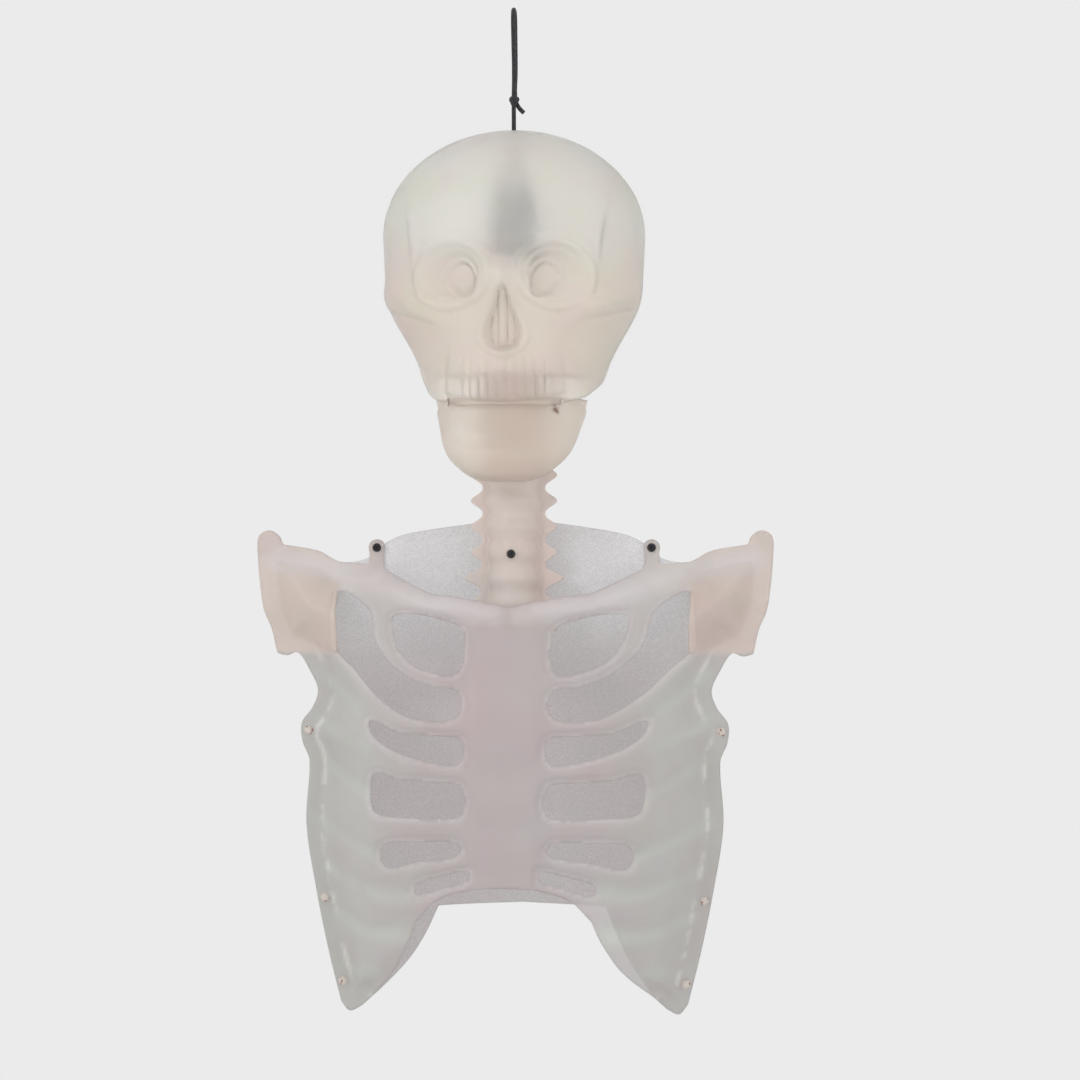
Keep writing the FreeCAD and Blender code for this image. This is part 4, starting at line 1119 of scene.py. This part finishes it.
@dataclass
class Neck:
    """Two half tubes with a flat rim whose rounded lobes are the vertebrae."""

    radius: float = 17.0
    bulge: float = 2.0
    pitch: float = 16.4
    reach: float = 27.5
    collar: float = 23.0
    groove_low: float = -237.9
    collar_low: float = -235.6
    bottom: float = -397.5
    first: float = -347.0
    shoulder: float = 3.2
    wall: float = 1.3
    blend: float = 2.4

    def tube(self, z: np.ndarray) -> np.ndarray:
        """The tube's radius: a bulge at each vertebra, a groove and a collar at the top.

        Args:
            z: Height.

        Returns:
            The radius, in the shape of z.
        """
        wave = np.cos(2 * np.pi * (z - self.first) / self.pitch)
        radius = self.radius + self.bulge * 0.5 * (wave - 1)
        radius = np.where(z > self.groove_low - 3.0, self.radius + self.shoulder, radius)
        radius = np.where(z > self.groove_low, self.radius, radius)
        return np.where(z > self.collar_low, self.collar - 0.2, radius)

    def lobes(self, z: np.ndarray) -> np.ndarray:
        """How far the flat rim reaches: lobes along a cosine; one, a pitch below the first, is longer.

        Args:
            z: Height.

        Returns:
            The reach from the middle, or 0 where there is no rim.
        """
        wave = 0.5 + 0.5 * np.cos(2 * np.pi * (z - self.first) / self.pitch)
        root = self.radius + 3.0
        reach = root + (self.reach - root) * wave**1.3
        low = bump(z - (self.first - self.pitch), 4.0)
        reach = reach + 4.0 * low
        return np.where(z > self.groove_low - 4.0, 0.0, reach)

    def shell(self, name: str, half: Half) -> bpy.types.Object:
        """One half: across, an arc over the tube and then straight along the flat rim.

        Args:
            name: The piece's name.
            half: Which half it is.

        Returns:
            The half, with its wall.
        """
        across = np.linspace(-62.0, 62.0, 187)
        top = np.array([-241.1, -240.9, -240.7, -238.1, -237.95, -237.8, -235.7, -235.55, -235.4,
                        -233.5, -232.2, -231.6])
        level = np.sort(np.concatenate([np.arange(self.bottom, self.groove_low - 3.2, 0.95), top]))

        def bare(u: np.ndarray, v: np.ndarray) -> np.ndarray:
            """Points for an across length and a height, with a sharp foot to the tube."""
            radius = self.tube(v)
            quarter = radius * np.pi / 2
            angle = np.clip(u / radius, -np.pi / 2, np.pi / 2)
            past = np.sign(u) * np.maximum(np.abs(u) - quarter, 0.0) * (self.lobes(v) > 0)
            y = np.where(past != 0, SEAM + WALL, radius * np.cos(angle) + SEAM)
            return np.stack([radius * np.sin(angle) + past, half.value * y, v], -1)

        def place(u: np.ndarray, v: np.ndarray) -> np.ndarray:
            """Points with the tube's foot rounded into the flat rim."""
            steps = self.blend * np.array([-1.0, -0.5, 0.0, 0.5, 1.0])
            return sum(bare(u + step, v) for step in steps) / len(steps)

        def inside(u: np.ndarray, v: np.ndarray) -> np.ndarray:
            """Distance inside the lobed rim."""
            radius = self.tube(v)
            reach = np.maximum(self.lobes(v), radius * 0.999)
            x = np.where(np.abs(u) > radius * np.pi / 2,
                         radius + np.abs(u) - radius * np.pi / 2, 0.0)
            return np.where(x > 0, reach - x, 5.0)

        points, faces, _, _ = trimmed_grid(across, level, inside, place, flip=half is Half.BACK)
        return thicken(mesh_object(name, points, faces), self.wall)

    def build(self) -> None:
        """Make both halves."""
        finish = NECK_SHEET.make()
        for half, node in ((Half.FRONT, "neck_front_shell"), (Half.BACK, "neck_back_shell")):
            shell = dress(self.shell(node.replace("_shell", "_formed"), half), finish)
            stand_in(shell, "torso", node)
            log.info("%s built", node)


# ---------------------------------------------------------------- rib cage


@dataclass
class RibCage:
    """Front and back of the chest, with the doubled patches at the shoulders."""

    flange: float = 8.0
    lug_x: float = 88.0
    lug_z: float = -344.0
    lug_radius: float = 5.3
    front_depth: float = 58.0
    back_depth: float = 50.0
    neck_radius: float = 17.0
    root_curve: float = 5.0
    step: float = 1.8
    post_foot: float = -362.0
    fold: float = 4.5
    front_from: float = -369.5
    back_from: float = -362.0
    shoulder: Line = field(default_factory=lambda: [
        (80, -359), (95, -354.5), (112, -353), (126, -346), (149, -342)])
    nub: Line = field(default_factory=lambda: [
        (149, -342), (151.5, -336.5), (158, -333), (164.5, -337), (165, -350), (163.5, -368),
        (161, -384), (156, -396), (152.5, -411.5)])
    side: Line = field(default_factory=lambda: [
        (152.5, -411.5), (146, -413), (139, -411), (131, -423), (126, -435), (129.5, -446),
        (136.5, -456), (136, -468), (131.5, -480), (133.5, -520), (127, -563), (119, -602),
        (111, -634)])
    tip: Line = field(default_factory=lambda: [
        (111, -634), (105.5, -640), (98, -637)])
    belly: Line = field(default_factory=lambda: [
        (98, -637), (85, -625), (71, -609), (62, -593), (55, -577)])
    openings: list[Line] = field(default_factory=lambda: [
        [(28, -397), (45, -389), (74, -386.5), (74, -397), (66, -413), (50, -421.5),
         (32, -423.5), (27, -412)],
        [(112, -372), (101, -376), (90, -386), (85.5, -403), (76, -416), (62, -425.5),
         (46, -431), (31, -433.5), (27, -442), (31, -450.5), (45, -452.5), (63, -449.5),
         (84, -437), (102, -420), (113, -409), (113.5, -390)],
        [(27, -464), (45, -461.5), (66, -460.5), (88, -452.5), (86, -461), (71, -471),
         (48, -478), (30, -479.5), (25.5, -472)],
        [(27.5, -493), (45, -490.5), (66, -489.5), (84, -486), (87, -498), (83, -510.5),
         (62, -513), (42, -513.5), (28, -512), (24.5, -502)],
        [(30, -528.5), (52, -528), (75, -529.5), (80, -537), (75, -545), (54, -540.5),
         (32, -537.5), (26.5, -533)],
        [(22, -546), (38, -549), (55, -554), (57, -560), (52, -561), (36, -556),
         (22, -551.5)]])
    collarbone: Line = field(default_factory=lambda: [
        (8, -385), (32, -381.5), (52, -380), (74, -372), (100, -362), (128, -356), (152, -352)])
    patch: Line = field(default_factory=lambda: [
        (113, -366), (124, -358), (140, -354), (152, -353), (153, -366), (150, -383),
        (144, -397), (140, -401), (128, -408), (113, -411)])
    rib_grooves: list[Line] = field(default_factory=lambda: [
        [(94, -448), (112, -434), (122, -424)], [(88, -497), (106, -487), (124, -474)],
        [(80, -537), (100, -530), (124, -518)], [(57, -558), (82, -560), (118, -548)],
        [(66, -584), (88, -584), (116, -572)]])
    # Lines of the painted shade between the ribs.
    groove_shade_bands: list[Line] = field(default_factory=lambda: [
        [(96, -446), (114, -432), (124, -422)], [(90, -470), (112, -462), (126, -452)],
        [(90, -498), (108, -489), (126, -478)], [(82, -537), (102, -530), (126, -518)],
        [(59, -558), (84, -561), (120, -549)], [(66, -586), (90, -588), (116, -578)],
        [(88, -612), (100, -614), (110, -612)]])

    def __post_init__(self) -> None:
        """Draw the outlines from their stretches."""
        common = [through(stretch) for stretch in (self.nub, self.side, self.tip, self.belly)]
        notch = through([(0, -381.5), (33, -375), (50, -373), (66, -366), (80, -359)])
        front_arch = through([(55, -577), (40, -562.5), (22, -557.5), (0, -556.5)])
        back_arch = through([(55, -577), (38, -576), (0, -574)])
        back_top = through([(0, -325), (45, -331), (72, -336), (84, -342), (95, -351),
                            (112, -353), (126, -346), (149, -342)])
        self.front_ring = self.mirrored([notch, through(self.shoulder), *common, front_arch])
        self.back_ring = self.mirrored([back_top, *common, back_arch])
        start = np.array([[self.lug_x, self.lug_z]])
        outer = through([(96, -353.5), (112, -353), (126, -346), (149, -342)])
        self.seamed = np.vstack([start, outer, *common[:3]])
        self.rings = [closed_through(points) for points in self.openings]

    @staticmethod
    def mirrored(stretches: list[np.ndarray]) -> np.ndarray:
        """A closed outline from the stretches of its right half."""
        right = np.vstack([s[:-1] for s in stretches] + [stretches[-1][-1:]])
        left = right[1:-1][::-1] * np.array([-1.0, 1.0])
        return np.vstack([right, left])

    def outline(self, x: np.ndarray, z: np.ndarray, half: Half) -> np.ndarray:
        """Distance inside a half's outline, with its lugs and their posts.

        Args:
            x: Across.
            z: Height.
            half: Which half it is.

        Returns:
            The signed distance, positive inside.
        """
        ring = self.front_ring if half is Half.FRONT else self.back_ring
        body = inside_distance(np.abs(x), z, ring)
        lug = self.lug_radius - np.hypot(np.abs(x) - self.lug_x, z - self.lug_z)
        post = np.minimum(self.lug_radius * 0.9 - np.abs(np.abs(x) - self.lug_x),
                          np.minimum(self.lug_z - z, z - self.post_foot))
        return np.maximum(body, np.maximum(lug, post))

    def opening_distance(self, x: np.ndarray, z: np.ndarray) -> np.ndarray:
        """Distance to the nearest rib opening: positive outside all of them."""
        return np.min([-inside_distance(np.abs(x), z, ring) for ring in self.rings], axis=0)

    def swell(self, x: np.ndarray, z: np.ndarray) -> np.ndarray:
        """The rise from the rim, averaged over five places where it is high, which rounds its folds.

        Args:
            x: Across.
            z: Height.

        Returns:
            The share of the full depth.
        """
        sharp, reach = self.rise(x, z), self.fold
        round_off = (sharp + self.rise(x + reach, z) + self.rise(x - reach, z)
                     + self.rise(x, z + reach) + self.rise(x, z - reach)) / 5
        return sharp + (round_off - sharp) * ease(0.05, 0.30, sharp)

    def rise(self, x: np.ndarray, z: np.ndarray) -> np.ndarray:
        """From 0 on the rim to 1 where the cage has its full depth, over a fixed reach.

        It starts as a parabola from the rim, and then levels off as a power of what is left.

        Args:
            x: Across.
            z: Height.

        Returns:
            The share of the full depth.
        """
        root = self.root_curve
        away = edge_distance(np.abs(x), z, self.seamed) - self.flange - root
        away = np.where(away < root, np.maximum(away + root, 0.0) ** 2 / (4 * root), away)
        share = np.minimum(away / (self.lug_x - self.flange - root), 1.0)
        return 1 - (1 - share) ** 2.2

    def front_full(self, z: np.ndarray) -> np.ndarray:
        """The chest's full depth at a height."""
        low = self.neck_radius + 11
        return low + (self.front_depth - low) * ease(0, 90, self.front_from - z)

    def back_full(self, z: np.ndarray) -> np.ndarray:
        """The back's full depth at a height; the neck rests on it near the top."""
        low = self.neck_radius + 0.3 - SEAM
        return low + (self.back_depth - low) * ease(0, 100, self.back_from - z)

    def front_relief(self, x: np.ndarray, z: np.ndarray, away: np.ndarray) -> np.ndarray:
        """Ribs, breastbone and collarbones over the plain swell.

        Args:
            x: Across.
            z: Height.
            away: Distance to the nearest opening.

        Returns:
            How far the sheet stands out.
        """
        side = np.abs(x)
        roll = -3.2 * (1 - ease(0.0, 5.0, np.maximum(away, 0.0)))
        bone = 1.6 * (1 - ease(17.0, 25.0, side)) * ease(-566.0, -552.0, z) * (
            1 - ease(-392.0, -380.0, z))
        steps = 0.6 * np.cos((z + 470.0) * 2 * np.pi / 33.0) * (1 - ease(14.0, 22.0, side))
        clavicle = 3.0 * bump(edge_distance(side, z, through(self.collarbone)), 4.2)
        grooves = np.zeros_like(x)
        for line in self.rib_grooves:
            grooves -= 2.0 * bump(edge_distance(side, z, through(line)), 4.0)
        return roll + bone + steps + clavicle + grooves

    def paint(self, x: np.ndarray, z: np.ndarray, half: Half) -> dict[str, np.ndarray]:
        """Where painted shade greys the front's rib grooves and sides, it warms over the patches, painted
        highlights pale the rims of the openings and the collarbones, and the crease whitens in flecks that
        are partly bent sheet and partly painted highlight.

        Args:
            x: Across.
            z: Height.
            half: Which half it is.

        Returns:
            Values from 0 to 1 by name.
        """
        side = np.abs(x)
        rim = edge_distance(side, z, self.seamed)
        # White flecks along the flange crease: partly stress-whitened sheet, partly painted highlight.
        crease = 0.7 * bump(rim - self.flange - 2.0, 0.9) * (1 - ease(-420.0, -400.0, z))
        if half is Half.BACK:
            # Back: paler towards the top as painted light outside the cage's shade; the crease flecks are
            # partly painted highlight.
            return {"crease": 0.4 * crease, "pale": 0.8 * ease(-432.0, -372.0, z)}
        # Painted shade: grey towards the sides and along the rib grooves.
        grooves = 0.75 * ease(48.0, 100.0, side)
        for line in self.groove_shade_bands:
            grooves = np.maximum(grooves, bump(edge_distance(side, z, through(line)), 6.5))
        warm = ease(110.5, 113.5, side) * ease(-414.0, -409.0, z)
        collar = 0.6 * ease(70.0, 100.0, side) * ease(-376.0, -366.0, z)
        # Painted highlights: paler round the rib openings and along the collarbone ridges.
        rim = 0.55 * (1 - ease(0.5, 4.0, np.abs(self.opening_distance(x, z))))
        ridge = 0.75 * bump(edge_distance(side, z, through(self.collarbone)), 5.5)
        return {"groove": grooves, "warm": np.maximum(0.9 * warm, collar),
                "pale": np.maximum(rim, ridge), "crease": crease}

    def back_relief(self, x: np.ndarray, z: np.ndarray) -> np.ndarray:
        """A low spine down the middle, gentle ribs, and a step along the top edge.

        Args:
            x: Across.
            z: Height.

        Returns:
            How far the sheet stands out.
        """
        side = np.abs(x)
        spine = 1.6 * bump(side, 7.0) * (0.6 + 0.4 * np.cos((z + 400) * 2 * np.pi / 22.0)) * (
            1 - ease(-420.0, -395.0, z))
        ribs = 1.0 * np.cos((z + 0.25 * side + 430) * 2 * np.pi / 33.0) * ease(12.0, 30.0, side) * (
            1 - ease(95.0, 118.0, side)) * (1 - ease(-420.0, -395.0, z)) * ease(-600.0, -575.0, z)
        edge = edge_distance(side, z, through([(0, -331), (45, -337), (70, -342)]))
        step = 0.9 * bump(edge, 1.1)
        return spine + ribs + step

    def depth(self, x: np.ndarray, z: np.ndarray, half: Half) -> np.ndarray:
        """The outer face's distance from the seam plane: the swell's share of it, and the relief.

        Args:
            x: Across.
            z: Height.
            half: Which half it is.

        Returns:
            The distance.
        """
        swell = self.swell(x, z)
        edge = ease(0.0, 0.25, swell)
        if half is Half.FRONT:
            away = self.opening_distance(x, z)
            return swell * self.front_full(z) + self.front_relief(x, z, away) * edge
        return swell * self.back_full(z) + self.back_relief(x, z) * edge

    def shell(self, name: str, half: Half) -> bpy.types.Object:
        """One half of the cage as a height field over its outline.

        Args:
            name: The piece's name.
            half: Which half it is.

        Returns:
            The half, with its wall.
        """
        x = np.arange(-168.0, 168.01, self.step)
        z = np.arange(-644.0, -320.0, self.step)

        def inside(a: np.ndarray, b: np.ndarray) -> np.ndarray:
            """Distance inside the outline and outside the openings."""
            body = self.outline(a, b, half)
            return np.minimum(body, self.opening_distance(a, b)) if half is Half.FRONT else body

        def place(a: np.ndarray, b: np.ndarray) -> np.ndarray:
            """Points on the outer face."""
            return np.stack([a, half.value * (SEAM + WALL + self.depth(a, b, half)), b], -1)

        points, faces, across, height = trimmed_grid(x, z, inside, place, flip=half is Half.BACK)
        paint = self.paint(across, height, half)
        return thicken(mesh_object(name, points, faces, paint), WALL * 0.9)

    def insert(self, name: str, side: int) -> bpy.types.Object:
        """The patch that doubles the front shell at a shoulder.

        Args:
            name: The piece's name.
            side: -1 for the left and 1 for the right.

        Returns:
            The patch, with its wall.
        """
        ring = np.array(self.patch, float)
        x = np.arange(110.0, 156.0, 1.5)
        z = np.arange(-414.0, -350.0, 1.5)

        def place(a: np.ndarray, b: np.ndarray) -> np.ndarray:
            """Points just behind the front shell."""
            swell = self.swell(a, b) * self.front_full(b)
            return np.stack([side * a, -(SEAM - 0.05 + swell), b], -1)

        points, faces, _, _ = trimmed_grid(x, z, lambda a, b: inside_distance(a, b, ring), place,
                                           flip=side < 0)
        return thicken(mesh_object(name, points, faces))

    def build(self) -> None:
        """Make both halves and both patches."""
        for half, node, finish in ((Half.FRONT, "rib_cage_front", CAGE_SHEET),
                                   (Half.BACK, "rib_cage_back", BACK_SHEET)):
            shell = dress(self.shell(node + "_formed", half), finish.make())
            stand_in(shell, "torso", node)
            log.info("%s built", node)
        finish = INSERT_SHEET.make()
        for side, word in ((-1, "left"), (1, "right")):
            patch = dress(self.insert(f"shoulder_patch_{word}", side), finish)
            stand_in(patch, "torso", f"shoulder_insert_{word}")
        log.info("shoulder patches built")


# ---------------------------------------------------------------- carried-over nodes


@dataclass
class Fittings:
    """CAD nodes whose shapes are right and only need their finish."""

    finishes: dict[str, Finish] = field(default_factory=lambda: {
        "jaw_rivets": RIVET_METAL, "seam_rivets": RIVET_METAL, "neck_screw": DARK_SCREW,
        "collar_screws": DARK_SCREW, "neck_nut": DARK_SCREW, "collar_nuts": DARK_SCREW,
        "light_housing": HOUSING, "battery_cap": DARK_PLASTIC,
        "switch_slider": DARK_PLASTIC, "button_cells": BRIGHT_CELL,
        "battery_contacts": CONTACT_METAL, "lamp_board": BOARD, "led_lamp": LAMP_LENS,
    })

    def build(self) -> None:
        """Assign each finish to its node's own slots."""
        for node, finish in self.finishes.items():
            dress(bpy.data.objects[node], finish.make())
        log.info("fittings dressed")


# ---------------------------------------------------------------- studio


@dataclass
class Studio:
    """A plain pale room, a large soft lamp and a long lens."""

    azimuth: float = 6.0
    distance: float = 2.6
    aim_right: float = 0.0166
    aim_height: float = -0.3392
    view_width: float = 0.6880
    sensor: float = 36.0
    pale: float = 0.83
    floor_radius: float = 1600.0
    floor_height: float = -1400.0
    floor_sides: int = 64

    def camera(self) -> None:
        """A level camera; its lens frames view_width metres at the figure."""
        data = bpy.data.cameras.new("camera")
        data.sensor_width = self.sensor
        data.lens = self.sensor * self.distance / self.view_width
        data.clip_end = 50.0
        camera = bpy.data.objects.new("camera", data)
        bpy.context.scene.collection.objects.link(camera)
        turn = math.radians(self.azimuth)
        right = Vector((math.cos(turn), math.sin(turn), 0.0))
        back = Vector((math.sin(turn), -math.cos(turn), 0.0))
        aim = right * self.aim_right + Vector((0.0, 0.0, self.aim_height))
        camera.location = aim + back * self.distance
        camera.rotation_euler = (math.pi / 2, 0.0, turn)
        bpy.context.scene.camera = camera

    def lamp(self, name: str, place: tuple[float, float, float], size: float, power: float,
             aim: tuple[float, float, float] = (0.0, 0.0, -0.33)) -> None:
        """A square soft lamp that points at the figure.

        Args:
            name: The lamp's name.
            place: Where it stands, in metres.
            size: Its side, in metres.
            power: Its power, in watts.
            aim: What it points at, in metres.
        """
        data = bpy.data.lights.new(name, "AREA")
        data.size = size
        data.energy = power
        lamp = bpy.data.objects.new(name, data)
        lamp.location = place
        lamp.rotation_euler = (Vector(aim) - Vector(place)).to_track_quat("-Z", "Y").to_euler()
        bpy.context.scene.collection.objects.link(lamp)

    def room(self) -> None:
        """A pale round floor well under the figure, and an even pale surround."""
        around = np.arange(self.floor_sides)
        angle = np.linspace(0, 2 * np.pi, self.floor_sides, endpoint=False)
        level = np.full(self.floor_sides, self.floor_height)
        rim = np.stack([self.floor_radius * np.cos(angle), self.floor_radius * np.sin(angle), level], 1)
        points = np.vstack([rim, [[0.0, 0.0, self.floor_height]]])
        faces = np.stack([around, np.roll(around, -1), np.full(self.floor_sides, self.floor_sides)], 1)
        floor = mesh_object("floor", points, faces, smooth=False)
        nodes = Nodes("floor_paper")
        cloud = nodes.noise(3.0)
        nodes.join(nodes.mix(cloud, (0.80, 0.80, 0.80), (0.83, 0.83, 0.83)),
                   nodes.shader.inputs["Base Color"])
        nodes.shader.inputs["Roughness"].default_value = 0.9
        dress(floor, nodes.material)
        world = bpy.data.worlds.new("surround")
        world.use_nodes = True
        background = world.node_tree.nodes["Background"]
        background.inputs["Color"].default_value = (self.pale, self.pale, self.pale, 1.0)
        bpy.context.scene.world = world
        bpy.context.scene.view_settings.view_transform = "Standard"

    def build(self) -> None:
        """Set up the camera, the room and the lamps."""
        self.camera()
        self.room()
        self.lamp("key", (-0.9, -1.2, 0.35), 0.5, 5.0)
        self.lamp("fill", (1.2, -1.0, 0.1), 0.8, 2.0)


def main() -> None:
    """Build the studio, the cord and every sub-assembly."""
    logging.basicConfig(level=logging.INFO, format="%(name)s: %(message)s")
    Studio().build()
    HangingCord().build()
    skull = Skull()
    skull.build()
    Jaw(skull).build()
    Neck().build()
    RibCage().build()
    Fittings().build()
    bpy.context.view_layer.update()


if __name__ == "__main__":
    main()
